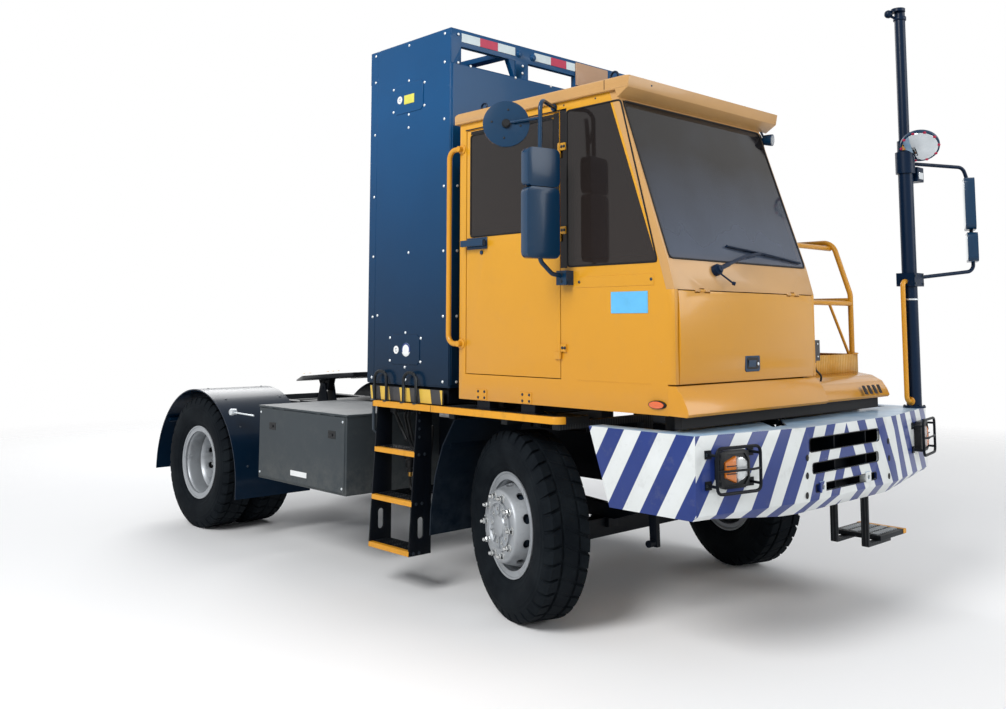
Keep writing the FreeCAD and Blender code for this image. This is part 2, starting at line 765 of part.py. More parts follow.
def flap_rod(x0, x1, radius):
    """A round bar on the hinge line of the front flap."""
    return rod((x0, fy(flap_axis_y), flap_axis_z), (x1, fy(flap_axis_y), flap_axis_z), radius)


def make_screen_frame():
    frame = prism_x(shifted(frame_profile), cab_right, cab_left)
    half = flap_knuckle / 2
    for x in flap_hinge_x:
        frame = frame.cut(flap_rod(x - half - 1, x + half + 1, flap_barrel + gap))
        for low, high in ((x - half - 1 - flap_knuckle, x - half - 1),
                          (x + half + 1, x + half + 1 + flap_knuckle)):
            frame = frame.fuse(flap_rod(low, high, flap_barrel))
        frame = frame.fuse(flap_rod(x - half - flap_knuckle, x + half + flap_knuckle, flap_pin))
    frame = frame.removeSplitter()
    frame = frame.cut(screen_prism(sill_z + 6, header_z, -5, glass, screen_x))
    return frame.cut(screen_prism(sill_z + 6 + lap, header_z - lap, -5, cab_wall + 5,
                                  (screen_x[0] + lap, screen_x[1] - lap)))


save("windshield_frame", make_screen_frame())
windshield = screen_prism(sill_z + 8, header_z - 2, 0, glass, (screen_x[0] + 2, screen_x[1] - 2))
right_pane = pane_prism(inset(side_pane, 2), cab_right, cab_right + glass)
left_pane = pane_prism(inset(side_pane, 2), cab_left - glass, cab_left)
rear_left_pane = pane_prism(inset(rear_side_pane, 2), cab_left - glass, cab_left)
save("cab_glass", windshield, right_pane, left_pane, rear_left_pane)


def make_roof():
    """Roof cap that overhangs on every side, with a visor over the windshield."""
    profile = [(430, roof_bottom), (430, roof_top - 15), (400, roof_top), (-900, roof_top),
               (-950, roof_top - 8), (-938, roof_bottom), (-868, header_z + 12),
               (screen_y(header_z + 12) - 1, header_z + 12), (screen_y(roof_bottom) - 1, roof_bottom)]
    roof = prism_x(shifted(profile), cab_right - 20, cab_left + 75)
    return rounded(roof, "y", 12, lambda p: p.z > roof_top - 1)


save("cab_roof", make_roof())

skirt_lip_y = -1273.0
skirt_lip_z = 1262.0
hood_end = deck_left


def make_skirt():
    """The flared shroud below the hatch, which runs on to the left as a low hood."""
    nose = [(corner, cab_bottom + 1), (skirt_lip_y + 12, skirt_lip_z), (skirt_lip_y, skirt_lip_z + 14),
            (-1262, 1310), (-1232, 1368), (cab_nose - 4, hatch_bottom - swing_gap - 8),
            (cab_nose + 2, hatch_bottom - swing_gap), (corner, hatch_bottom - swing_gap)]
    front = prism_x(shifted(nose), cab_right, cab_left)
    hollow = [(corner + 1, cab_bottom), (-1215, cab_bottom - 5), (-1210, 1330), (corner + 1, 1360)]
    front = front.cut(prism_x(shifted(hollow), cab_right + 40, cab_left + 1))
    hood = [(corner, 1300), (-1190, 1285), (-1205, skirt_lip_z), (skirt_lip_y + 40, skirt_lip_z),
            (skirt_lip_y + 30, skirt_lip_z + 14), (-1228, 1312), (-1195, 1360), (-1130, 1392),
            (-1020, deck_top - 2), (-1020, deck_top - 32), (corner, 1362)]
    side = prism_x(shifted(hood), cab_left, hood_end)
    return union(front, side)


save("front_skirt", make_skirt())

hatch_depth = 40.0
hatch_x = (cab_right + hatch_side + gap, cab_left - hatch_side - gap)
hatch_top = nose_split - gap
latch_x = (-641.0, -502.0)     # pocket of the flap's latch
latch_z = (1465.0, 1542.0)
latch_sink = 6.0


def make_hatch():
    """The front service flap, slightly crowned, hinged along its upper edge."""
    bulge = 10.0
    z0 = hatch_bottom
    z1 = hatch_top
    y = fy(cab_nose)
    x0 = hatch_x[0]
    arc = Part.Arc(Vector(x0, y, z0), Vector(x0, y - bulge, (z0 + z1) / 2), Vector(x0, y, z1)).toShape()
    edges = [arc, Part.makeLine(Vector(x0, y, z1), Vector(x0, y + hatch_depth, z1)),
             Part.makeLine(Vector(x0, y + hatch_depth, z1), Vector(x0, y + hatch_depth, z0)),
             Part.makeLine(Vector(x0, y + hatch_depth, z0), Vector(x0, y, z0))]
    panel = Part.Face(Part.Wire(edges)).extrude(Vector(hatch_x[1] - x0, 0, 0))
    pocket = box(latch_x, (y - bulge - 10, y - bulge + latch_sink), latch_z)
    panel = panel.cut(pocket)
    half = flap_knuckle / 2
    for x in flap_hinge_x:
        reach = half + flap_knuckle + 1 + gap
        panel = panel.cut(flap_rod(x - reach, x + reach, flap_barrel + gap))
        web = box((x - half, x + half), (y + 2, y + hatch_depth), (z1 - 16, z1))
        panel = panel.fuse(web).fuse(flap_rod(x - half, x + half, flap_barrel))
        panel = panel.cut(flap_rod(x - half - 1, x + half + 1, flap_pin + run_gap))
    return panel.removeSplitter()


save("front_hatch", make_hatch())

door_pane = [(door_rear - 32, door_sill_glass), (door_rear - 32, door_top - 26),
             (door_front + 46, door_top - 26), (door_front + 46, door_sill_glass)]
door_x = (cab_right, cab_right + door_thickness)
hinge_x = cab_right - 10
hinge_y = fy(door_front - 6)
hinge_levels = (1560.0, 2195.0, 2655.0)
hinge_radius = 10.0


def make_door():
    leaf = box(door_x, (fy(door_front), fy(door_rear)), (door_bottom, door_top))
    leaf = leaf.cut(pane_prism(door_pane, cab_right - 1, cab_right + glass))
    leaf = leaf.cut(pane_prism(inset(door_pane, lap), cab_right - 1, cab_right + cab_wall))
    parts = [leaf]
    for z in hinge_levels:
        parts.append(rod((hinge_x, hinge_y, z - 40), (hinge_x, hinge_y, z - 1), hinge_radius))
        parts.append(box((hinge_x - 3, cab_right), (hinge_y, hinge_y + 40), (z - 40, z - 1)))
    handle = box((cab_right - 45, cab_right - 25), (fy(150), fy(330)), (2170, 2200))
    parts.append(rounded(handle, "x", 8))
    for y in (fy(160), fy(300)):
        parts.append(box((cab_right - 30, cab_right + 5), (y, y + 20), (2174, 2196)))
    leaf = union(*parts)
    for z in hinge_levels:
        leaf = leaf.cut(rod((hinge_x, hinge_y, z - 41), (hinge_x, hinge_y, z), 5 + run_gap))
    return leaf


save("cab_door", make_door())
save("door_glass", pane_prism(inset(door_pane, 2), cab_right, cab_right + glass))


def make_hinges():
    """The fixed halves of the door hinges, with their pins."""
    solids = []
    for z in hinge_levels:
        knuckle = rod((hinge_x, hinge_y, z), (hinge_x, hinge_y, z + 40), hinge_radius)
        leaf = box((hinge_x - 3, cab_right + 2), (hinge_y - 45, hinge_y), (z, z + 40))
        pin = rod((hinge_x, hinge_y, z - 40), (hinge_x, hinge_y, z + 44), 5)
        solids.append(union(knuckle, leaf, pin))
    return solids


save("cab_right_wall", union(right_wall, *make_hinges()))

seat_x = -570.0


def make_seat():
    base = box((seat_x - 170, seat_x + 170), (fy(-120), fy(180)), (floor_top, floor_top + 300))
    cushion = rounded(box((seat_x - 250, seat_x + 250), (fy(-280), fy(230)),
                          (floor_top + 300, floor_top + 440)), "x", 40)
    back = prism_x(shifted([(120, floor_top + 440), (230, floor_top + 440), (330, floor_top + 1120),
                            (240, floor_top + 1130)]), seat_x - 235, seat_x + 235)
    head = rounded(box((seat_x - 130, seat_x + 130), (fy(248), fy(338)),
                       (floor_top + 1122, floor_top + 1300)), "x", 25)
    return union(base, cushion, back, head)


save("driver_seat", make_seat())
dash_rear = -800.0


def make_dashboard():
    low = floor_top + 380
    profile = [(bulkhead_rear, low), (bulkhead_rear, nose_split), (corner + 12, nose_split),
               (screen_y(1975, cab_wall + 8), 1975), (-1060, 2010), (-900, 1985), (dash_rear, 1900),
               (-830, 1750), (-940, 1690), (-960, low)]
    return prism_x(shifted(profile), inner_x[0], inner_x[1])


save("dashboard", make_dashboard())


def make_steering_wheel():
    """Rim, spokes and column, tilted towards the driver."""
    radius = 225.0
    tilt = math.radians(40)
    centre = Vector(seat_x, fy(-600), 2060)
    normal = Vector(0, math.sin(tilt), math.cos(tilt))
    rim = Part.makeTorus(radius, 15, centre, normal)
    hub = Part.makeCylinder(45, 40, centre - normal * 40, normal)
    parts = [rim, hub]
    across = Vector(1, 0, 0)
    up = normal.cross(across)
    for angle in (90, 210, 330):
        direction = across * math.cos(math.radians(angle)) + up * math.sin(math.radians(angle))
        parts.append(Part.makeCylinder(11, radius - 4, centre - normal * 12, direction))
    parts.append(Part.makeCylinder(32, 385, centre - normal * 405, normal))
    column = union(*parts)
    return column.cut(make_dashboard())


save("steering_wheel", make_steering_wheel())

# ---------------------------------------------------------------- supports under the cab and deck
beam_bottom = 1140.0
support_stations = (-1000.0, 300.0)
support_right = -1000.0        # stops at the inner edge of the step board


def make_supports():
    """Two transverse beams on pedestals that carry the cab, the deck and the walkway."""
    parts = []
    for y in support_stations:
        beam = box((support_right, deck_left - 20), (fy(y - 45), fy(y + 45)), (beam_bottom, cab_bottom))
        parts.append(beam)
        for side in (-1, 1):
            x = side * (frame_half_width - rail_flange / 2)
            parts.append(box((x - 45, x + 45), (fy(y - 45), fy(y + 45)), (frame_top, beam_bottom)))
        for x in (cab_left + 120, deck_left - 90):
            parts.append(box((x - 30, x + 30), (fy(y - 18), fy(y + 18)), (cab_bottom, deck_top - 30)))
    return union(*parts)


save("cab_supports", make_supports())

# ---------------------------------------------------------------- left deck and railing
rail_tube = 34.0
kick_height = 110.0
kick_wall = 8.0
deck_front = -1020.0
deck_rear = tower_front - 20


def make_deck():
    """Tread plate beside the cab, with a kick plate round its outer edges."""
    plate = box((cab_left + 6, deck_left + 41), (fy(deck_front), fy(deck_rear)), (deck_top - 30, deck_top))
    front_kick = box((cab_left + 6, deck_left + 41), (fy(deck_front), fy(deck_front + kick_wall)),
                     (deck_top, deck_top + kick_height))
    side_kick = box((deck_left + 41 - kick_wall, deck_left + 41), (fy(deck_front), fy(deck_rear)),
                    (deck_top, deck_top + kick_height))
    return union(plate, front_kick, side_kick)


save("left_deck", make_deck())

rail_x = deck_left + 16
rail_mid_z = 1905.0
rail_top_z = 2250.0
rail_foot_y = deck_front + 26
rail_top_y = -880.0
rail_end_y = deck_rear - 25


def make_railing():
    """Corner post that leans back above its knee, with top and middle rails on two sides."""
    post = bent_tube([(rail_x, fy(rail_foot_y), deck_top), (rail_x, fy(rail_foot_y), rail_mid_z),
                      (rail_x, fy(rail_top_y), rail_top_z), (rail_x, fy(rail_end_y), rail_top_z),
                      (rail_x, fy(rail_end_y), deck_top)], rail_tube, 90)
    middle = rod((rail_x, fy(rail_foot_y), rail_mid_z - 40), (rail_x, fy(rail_end_y), rail_mid_z - 40),
                 rail_tube / 2)
    cross_top = rod((cab_left, fy(rail_top_y + 20), rail_top_z - 40),
                    (rail_x, fy(rail_top_y + 20), rail_top_z - 40), rail_tube / 2 - 1)
    cross_middle = rod((cab_left, fy(rail_foot_y), rail_mid_z - 60),
                       (rail_x, fy(rail_foot_y), rail_mid_z - 60), rail_tube / 2 - 1)
    stanchion = rod((rail_x, fy(-250), deck_top), (rail_x, fy(-250), rail_top_z), rail_tube / 2 - 1)
    brace = rod((rail_x - 280, fy(rail_foot_y), rail_mid_z - 60),
                (rail_x - 8, fy(rail_foot_y), deck_top + 60), 9)
    return union(post, middle, cross_top, cross_middle, stanchion, brace)


save("deck_railing", make_railing())

# ---------------------------------------------------------------- battery tower
cap_wall = 40.0
tower_x = (-tower_half_width, tower_half_width)
battery = box(tower_x, (fy(tower_front), fy(tower_rear)), (tower_bottom, tower_roof))
save("battery_cabinet", rounded(battery, "z", 12))


def make_tower_parapet():
    """Open frame round the top of the tower: three closed sides and a beam on posts in front."""
    y = (fy(tower_front), fy(tower_rear))
    block = box(tower_x, y, (tower_roof, tower_top))
    inside = box((tower_x[0] + cap_wall, tower_x[1] - cap_wall), (y[0] + cap_wall, y[1] - cap_wall),
                 (tower_roof - 1, tower_top + 1))
    parapet = block.cut(inside)
    left = -tower_half_width + 85
    mouth = [(left, left + 480), (left + 600, -46), (-6, tower_half_width - 85)]
    for x0, x1 in mouth:
        parapet = parapet.cut(box((x0, x1), (y[0] - 1, y[0] + cap_wall + 1),
                                  (tower_roof + 4, tower_top - 110)))
    return parapet


save("tower_parapet", make_tower_parapet())

cover_x = (-43.0, 295.0)
cover_z = (3402.0, 3568.0)
cover_wall = 14.0
save("tower_cover_plate", box(cover_x, (fy(tower_front - cover_wall), fy(tower_front)), cover_z))


def make_tower_base():
    """Cross beams and slab that carry the tower on the chassis rails."""
    x = (-tower_half_width + 30, tower_half_width - 30)
    slab = box(x, (fy(tower_front + 40), fy(tower_rear - 40)), (tower_bottom - 100, tower_bottom))
    parts = [slab]
    for y in (tower_front + 130, tower_rear - 130):
        parts.append(box((-frame_half_width, frame_half_width), (fy(y - 60), fy(y + 60)),
                         (frame_top, tower_bottom - 100)))
    return union(*parts)


save("tower_base", make_tower_base())

# ---------------------------------------------------------------- walkway, ladder, mudguards
board_width = 250.0
walk_x = support_right - board_width
walk_top = 1207.0
platform_y = (645.0, 1247.0)
board_front = -436.0
board_wall = 38.0


def make_walkway():
    """The platform at the head of the ladder and the step board below the cab door."""
    platform = box((walk_x, walk_x + 330), (fy(platform_y[0]), fy(platform_y[1])), (walk_top - 32, walk_top))
    board = box((walk_x, walk_x + board_width), (fy(board_front), fy(platform_y[0])),
                (walk_top - board_wall, walk_top))
    board = rounded(board, "z", 60, lambda p: p.y < fy(0) and p.x < walk_x + 10)
    parts = [platform, board]
    for y in (-330.0, 80.0, 550.0, 1150.0):
        parts.append(box((walk_x + 90, -frame_half_width + rail_flange), (fy(y - 25), fy(y + 25)),
                         (walk_top - 78, walk_top - board_wall)))
        parts.append(box((-frame_half_width, -frame_half_width + rail_flange), (fy(y - 25), fy(y + 25)),
                         (frame_top, walk_top - board_wall)))
    return parts


walkway_parts = make_walkway()

ladder_y = (820.0, 1247.0)
tread_levels = (304.0, 603.0, 906.0)
ladder_inner = 154.0           # inner edge of the stringers, from the outer edge of the platform
ladder_lean = 0.063            # the outer edges lean out towards the foot
ladder_upright_z = 605.0       # where the outer edge is plumb with the platform
stringer = 10.0
stringer_slot_x = (48.0, 92.0)             # from the outer edge of the platform
stringer_slot_z = (375.0, 505.0)


def ladder_outer(z):
    """Outer edge of the ladder at a height."""
    return walk_x + (z - ladder_upright_z) * ladder_lean


def make_ladder():
    """Two leaning stringer plates with three treads, hung from the platform."""
    inner = walk_x + ladder_inner
    foot = tread_levels[0] - 30
    head = walk_top - 32
    parts = []
    for y in (ladder_y[0], ladder_y[1] - stringer):
        plate = prism_y([(ladder_outer(foot), foot), (inner, foot), (inner, head),
                         (ladder_outer(head), head)], fy(y), fy(y + stringer))
        slot = box((walk_x + stringer_slot_x[0], walk_x + stringer_slot_x[1]),
                   (fy(y - 1), fy(y + stringer + 1)), stringer_slot_z)
        parts.append(plate.cut(rounded(slot, "y", 20)))
    span = (fy(ladder_y[0] + stringer), fy(ladder_y[1] - stringer))
    for z in tread_levels:
        parts.append(box((ladder_outer(z) - 2, inner), span, (z - 30, z)))
    return union(*parts)


save("ladder", make_ladder())


hoop_stations = (808.0, 1119.0)


def make_hand_loops():
    """Two steel hoops that stand up from the platform edge beside the tower."""
    solids = []
    for y in hoop_stations:
        hoop = bent_tube([(walk_x + 14, fy(y), walk_top), (walk_x + 14, fy(y), 1400),
                          (walk_x + 14, fy(y + 130), 1400), (walk_x + 14, fy(y + 130), walk_top)], 20, 55)
        solids.append(hoop)
    return solids


save("right_walkway", union(*walkway_parts, *make_hand_loops()))

guard_wall = 7.0
guard_line = [(433.0, 1134.0), (541.0, 975.0), (609.0, 791.0), (650.0, 571.0), (656.0, 426.0)]


def make_mudguard():
    """The left guard behind the front wheel, a sheet that curves back towards its foot."""
    x = (620.0, 1235.0)
    back_line = [(y + guard_wall, z) for y, z in reversed(guard_line)]
    sheet = prism_x(shifted(guard_line + back_line), x[0], x[1])
    arm = box((frame_half_width, x[1] - 60), (fy(535), fy(575)), (955, 995))
    return union(sheet, arm)


mudguard = make_mudguard()
save("front_mudguards", mudguard, mirrored(mudguard))

# ---------------------------------------------------------------- side lockers and air tanks
locker_y = (1555.0, 2730.0)
locker_z = (545.0, 1090.0)
locker_outer = 1240.0


def make_locker():
    """The left chassis locker with its overhanging lid plate, bolted to the rail."""
    body = box((frame_half_width, locker_outer), (fy(locker_y[0]), fy(locker_y[1])),
               (locker_z[0], locker_z[1] - 14))
    lid = box((frame_half_width, locker_outer + 8), (fy(locker_y[0] - 8), fy(locker_y[1] + 8)),
              (locker_z[1] - 14, locker_z[1]))
    panel = box((locker_outer, locker_outer + 4), (fy(locker_y[0] + 10), fy(locker_y[1] - 10)),
                (locker_z[0] + 10, locker_z[1] - 20))
    return union(body, lid, panel)


locker = make_locker()
save("side_lockers", locker, mirrored(locker))


def make_air_tank(x, z):
    tank = rod((x, fy(760), z), (x, fy(1460), z), 105)
    tank = tank.makeFillet(45, [e for e in tank.Edges if e.Curve.TypeId == "Part::GeomCircle"])
    straps = [box((frame_half_width, x), (fy(y - 20), fy(y + 20)), (z + 10, z + 60)) for y in (900, 1320)]
    return union(tank, *straps)


save("air_tanks", make_air_tank(frame_half_width + 150, 830))

# ---------------------------------------------------------------- rear fenders and tail
fender_radius = rear_overhang - fender_centre_y
fender_wall = 6.0
fender_front_z = 345.0


def make_fender():
    """The left half-round sheet over the twin wheels, on two tubes from the rail."""
    x0 = fender_outer - fender_width
    cy = ry(fender_centre_y)
    cz = fender_centre_z
    ring = Part.makeCylinder(fender_radius, fender_width, Vector(x0, cy, cz), Vector(1, 0, 0))
    ring = ring.cut(Part.makeCylinder(fender_radius - fender_wall, fender_width + 2, Vector(x0 - 1, cy, cz),
                                      Vector(1, 0, 0)))
    reach = fender_radius + 10
    ring = ring.cut(box((x0 - 2, fender_outer + 2), (cy - reach, cy + reach), (cz - reach, cz)))
    flap = box((x0, fender_outer), (cy - fender_radius, cy - fender_radius + fender_wall),
               (fender_front_z, cz))
    parts = [ring, flap]
    for side in (-1, 1):
        inner = fender_radius - fender_wall - 16
        y = cy + side * inner * math.cos(math.radians(38))
        z = cz + inner * math.sin(math.radians(38))
        parts.append(rod((frame_half_width, y, z), (fender_outer - 30, y, z), 18))
    return union(*parts)


fender = make_fender()
save("rear_fender_left", fender)
save("rear_fender_right", mirrored(fender))

# ---------------------------------------------------------------- trailer coupling
coupling_y = ry(-coupling_setback)
plate_wall = 40.0
plate_half = 430.0
straight_end = 230.0           # the sides run straight to here behind the coupling centre
ramp_start = 260.0
ramp_drop = 30.0
horn_taper = 60.0
throat_start = 75.0
throat_half = (60.0, 220.0)    # at its start and at the tips of the horns
nose_cut = 340.0               # the round nose is cut off square
horn_length = 440.0            # coupling centre to the tips of the two horns
pivot_z = coupling_height - 95
pivot_x = 330.0
pivot_radius = 25.0


def make_coupling_plate():
    """Horseshoe plate with a flared throat at the rear and two pivot lugs below."""
    half = plate_half
    top = coupling_height
    low = top - plate_wall
    straight = coupling_y + straight_end
    nose = Part.makeCylinder(half, plate_wall, Vector(0, coupling_y - 20, low))
    nose = nose.cut(box((-half, half), (coupling_y - 20, coupling_y + half + 20), (low - 1, top + 1)))
    nose = nose.cut(box((-half, half), (coupling_y - half - 40, coupling_y - nose_cut), (low - 1, top + 1)))
    body = box((-half, half), (coupling_y - 20, straight), (low, top))
    tips = coupling_y + horn_length
    tails = prism_z([(-half, straight), (half, straight), (half - horn_taper, tips),
                     (-half + horn_taper, tips)], low, top)
    plate = union(nose, body, tails)
    end = tips + 10
    start = coupling_y + throat_start
    throat = prism_z([(-throat_half[0], start), (throat_half[0], start), (throat_half[1], end),
                      (-throat_half[1], end)], low - 1, top + 1)
    plate = plate.cut(throat)
    # the two horns slope down towards the rear so that a trailer rides up on them
    ramp = prism_x([(coupling_y + ramp_start, top + 1), (end, top - ramp_drop), (end, top + 1)],
                   -half - 1, half + 1)
    plate = plate.cut(ramp)
    parts = [plate]
    for side in (-1, 1):
        lug = prism_x([(coupling_y - 90, low), (coupling_y - 45, pivot_z - 40),
                       (coupling_y + 45, pivot_z - 40), (coupling_y + 90, low)],
                      side * pivot_x - 30, side * pivot_x + 30)
        parts.append(lug)
    plate = union(*parts)
    plate = plate.cut(rod((0, coupling_y, low - 1), (0, coupling_y, top + 1), kingpin_radius))
    plate = plate.cut(rod((-half, coupling_y, pivot_z), (half, coupling_y, pivot_z), pivot_radius + run_gap))
    plate.rotate(Vector(0, coupling_y, pivot_z), Vector(1, 0, 0), -rest_tilt_deg)
    return plate


save("coupling_plate", make_coupling_plate())


def make_coupling_base():
    """Base plate on the rails with two forked pedestals and their pivot pins."""
    base = box((-frame_half_width - 15, frame_half_width + 15), (coupling_y - 260, coupling_y + 260),
               (frame_top, frame_top + 14))
    parts = [base]
    for side in (-1, 1):
        for offset in (-50, 36):
            x = side * pivot_x + offset
            cheek = prism_x([(coupling_y - 80, frame_top + 14), (coupling_y - 34, pivot_z + 18),
                             (coupling_y + 34, pivot_z + 18), (coupling_y + 80, frame_top + 14)],
                            x, x + 14)
            parts.append(cheek)
        parts.append(rod((side * pivot_x - 52, coupling_y, pivot_z),
                         (side * pivot_x + 52, coupling_y, pivot_z), pivot_radius))
    return union(*parts)


save("coupling_base", make_coupling_base())

# ---------------------------------------------------------------- steering gear
def make_steering_gear():
    """Steering box on the right rail with its drop arm and ball stud."""
    gear = box((-frame_half_width - 130, -frame_half_width), (fy(-600), fy(-380)), (790, 980))
    arm = prism_x(shifted([(-520, 800), (-460, 800), (-480, 440), (-530, 440)]),
                  -frame_half_width - 110, -frame_half_width - 80)
    stud = rod((-frame_half_width - 160, fy(-505), 462), (-frame_half_width - 80, fy(-505), 462), 20)
    return union(gear, arm, stud)


save("steering_gear", make_steering_gear())

# ---------------------------------------------------------------- left front step
step_x = (740.0, 1078.0)
step_z = 430.0
step_y = (-1235.0, -930.0)
strap_x = 608.0
strap_wall = 20.0
strap_width = 45.0
strap_stations = (-1200.0, -1000.0)
strap_reach = 900.0


def make_step():
    """A tread carried on two L-shaped straps that hang from a bar under the front support beam."""
    tread = box(step_x, (fy(step_y[0]), fy(step_y[1])), (step_z - 28, step_z))
    low = step_z - 28 - strap_wall
    parts = [tread]
    for y in strap_stations:
        span = (fy(y - strap_width / 2), fy(y + strap_width / 2))
        parts.append(box((strap_x, strap_x + strap_wall), span, (low, beam_bottom)))
        parts.append(box((strap_x, strap_reach), span, (low, low + strap_wall)))
    parts.append(box((strap_x, strap_x + strap_wall), (fy(strap_stations[0]), fy(support_stations[0] + 45)),
                     (beam_bottom - 50, beam_bottom)))
    return union(*parts)


save("left_front_step", make_step())

# ---------------------------------------------------------------- mirrors and mast
arm_tube = 24.0
head_depth = 62.0


def make_head(centre, width, height, yaw):
    """A rounded mirror housing whose glass faces rearward, turned by yaw."""
    x, y, z = centre
    head = box((x - width / 2, x + width / 2), (y - head_depth / 2, y + head_depth / 2),
               (z - height / 2, z + height / 2))
    head = rounded(head, "y", 34)
    head.rotate(Vector(x, y, z), Vector(0, 0, 1), yaw)
    return head


def make_disc(centre, radius, normal):
    """A round convex mirror: a shallow dish with a short socket at its back."""
    dish = Part.makeCylinder(radius, 22, Vector(*centre), Vector(*normal))
    return dish.makeFillet(8, [dish.Edges[0]])


right_line = (-1450.0, fy(-497.0))
right_arm_path = [(cab_right - 12, fy(-492), 1960), (cab_right - 120, fy(-492), 1972),
                  (right_line[0], right_line[1], 2040), (right_line[0] + 8, right_line[1], 2903),
                  (cab_right - 8, fy(-400), 2903)]


def make_right_arm():
    tube = bent_tube(right_arm_path, arm_tube, 60)
    bracket = box((cab_right - 58, cab_right), (fy(-535), fy(-462)), (1915, 1992))
    disc_arm = rod((right_line[0] + 6, right_line[1], 2800), (-1553, fy(-368), 2778), 8)
    foot = rod((cab_right, fy(-400), 2903), (cab_right - 14, fy(-400), 2903), 19)
    return union(tube, bracket, disc_arm, foot)


right_arm = make_right_arm()
long_head = make_head((right_line[0] + 4, right_line[1] - 4, 2236), 205, 375, -12)
short_head = make_head((right_line[0] + 6, right_line[1] - 4, 2530), 205, 205, -12)
round_head = make_disc((-1560, fy(-357), 2772), 125, (0.69, 0.72, -0.05))
save("right_mirror_arm", right_arm)
save("right_mirrors", long_head.cut(right_arm), short_head.cut(right_arm), round_head.cut(right_arm))

mast_radius = 46.0
mast_thin = 34.0
mast_step = 2905.0
left_line = (1540.0, fy(-1531.0))
left_arm_path = [(mast_x, fy(mast_y), 2760), (left_line[0] - 30, left_line[1] + 20, 2745),
                 (left_line[0], left_line[1], 2640), (left_line[0] + 10, left_line[1] - 6, 2060),
                 (mast_x, fy(mast_y), 2005)]


def make_mast():
    """The tube, its foot flange, the clamp above the grab tube, and the upper part with the arm."""
    lower = rod((mast_x, fy(mast_y), bumper_top), (mast_x, fy(mast_y), mast_step), mast_radius)
    upper = rod((mast_x, fy(mast_y), mast_step), (mast_x, fy(mast_y), mast_top - 12), mast_thin)
    knob = rod((mast_x - 20, fy(mast_y), mast_top - 20), (mast_x - 20, fy(mast_y), mast_top), 45)
    collar = rod((mast_x, fy(mast_y), 2690), (mast_x, fy(mast_y), 2830), mast_radius + 14)
    lower_collar = box((mast_x - 60, mast_x + 75), (fy(mast_y - 60), fy(mast_y + 60)), (1955, 2040))
    foot = rod((mast_x, fy(mast_y), bumper_top), (mast_x, fy(mast_y), bumper_top + 12), mast_radius + 22)
    sensor = box((mast_x + 40, mast_x + 130), (fy(mast_y - 60), fy(mast_y + 10)), (2640, 2735))
    tube = bent_tube(left_arm_path, arm_tube, 50)
    disc_arm = rod((mast_x, fy(mast_y), 2815), (mast_x - 10, fy(mast_y - 92), 2862), 9)
    clamp = lower_collar.cut(lower)
    head = union(upper, knob, collar, sensor, tube, disc_arm).cut(lower).cut(lower_collar)
    return [lower, foot.cut(lower), clamp] + head.Solids


mast_pieces = make_mast()
mast = union(*mast_pieces)
save("left_mast", *mast_pieces)
mast_long = make_head((left_line[0] + 2, left_line[1], 2500), 205, 340, 25)
mast_short = make_head((left_line[0] + 8, left_line[1] - 4, 2215), 205, 190, 25)
mast_disc = make_disc((mast_x - 10, fy(mast_y - 105), 2868), 120, (-0.62, -0.30, -0.72))
save("left_mirrors", mast_long.cut(mast), mast_short.cut(mast), mast_disc.cut(mast))


mast_grab_offset = 102.0       # the short grab tube stands beside the mast
mast_grab_z = (1225.0, 1985.0)
mast_grab_tube = 30.0
mast_grab_bend = 35.0


def make_grab_rails():
    """The tall grab tube at the rear corner of the cab and the one beside the mast."""
    x = cab_right - 20
    y = fy(cab_rear + 78)
    tall = bent_tube([(x, fy(cab_rear) - 20, 2770), (x, y, 2770), (x, y, 1590), (x, fy(cab_rear) - 20, 1590)],
                     32, 55)
    feet = [rod((cab_right, fy(cab_rear) - 20, z), (x - 16, fy(cab_rear) - 20, z), 17) for z in (2770, 1590)]
    short_x = mast_x - mast_grab_offset
    low, high = mast_grab_z
    corners = [(mast_x, fy(mast_y), high), (short_x, fy(mast_y), high), (short_x, fy(mast_y), low),
               (mast_x, fy(mast_y), low)]
    short = bent_tube(corners, mast_grab_tube, mast_grab_bend).cut(mast)
    around = (fy(mast_y) - mast_grab_tube, fy(mast_y) + mast_grab_tube)
    straight = box((short_x - mast_grab_tube, mast_x), around, (low + mast_grab_bend, high - mast_grab_bend))
    return [union(tall, *feet), short.common(straight)] + short.cut(straight).Solids


save("grab_rails", *make_grab_rails())
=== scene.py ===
import random
from math import cos, pi, radians, sin, tan

import bmesh
import bpy
from mathutils import Matrix, Vector


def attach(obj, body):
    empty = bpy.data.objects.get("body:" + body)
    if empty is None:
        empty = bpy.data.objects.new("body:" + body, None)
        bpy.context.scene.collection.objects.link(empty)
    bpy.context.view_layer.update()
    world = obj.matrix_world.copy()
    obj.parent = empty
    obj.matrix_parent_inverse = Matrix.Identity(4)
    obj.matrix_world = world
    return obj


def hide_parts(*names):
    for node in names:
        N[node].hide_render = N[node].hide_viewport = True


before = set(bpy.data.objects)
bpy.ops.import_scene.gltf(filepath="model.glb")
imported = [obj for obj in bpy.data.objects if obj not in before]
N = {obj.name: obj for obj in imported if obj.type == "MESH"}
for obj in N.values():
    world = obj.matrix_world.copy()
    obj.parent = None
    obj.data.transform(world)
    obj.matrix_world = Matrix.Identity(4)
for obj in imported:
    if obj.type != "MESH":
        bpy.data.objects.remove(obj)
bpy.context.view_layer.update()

SIDES = ((-1, "right"), (1, "left"))
X, Y, Z = (Vector(axis) for axis in ((1, 0, 0), (0, 1, 0), (0, 0, 1)))

# ---- stage
scene = bpy.context.scene
scene.view_settings.view_transform = "Standard"


def placed(name, data):
    """A new object in the scene."""
    o = bpy.data.objects.new(name, data)
    scene.collection.objects.link(o)
    return o


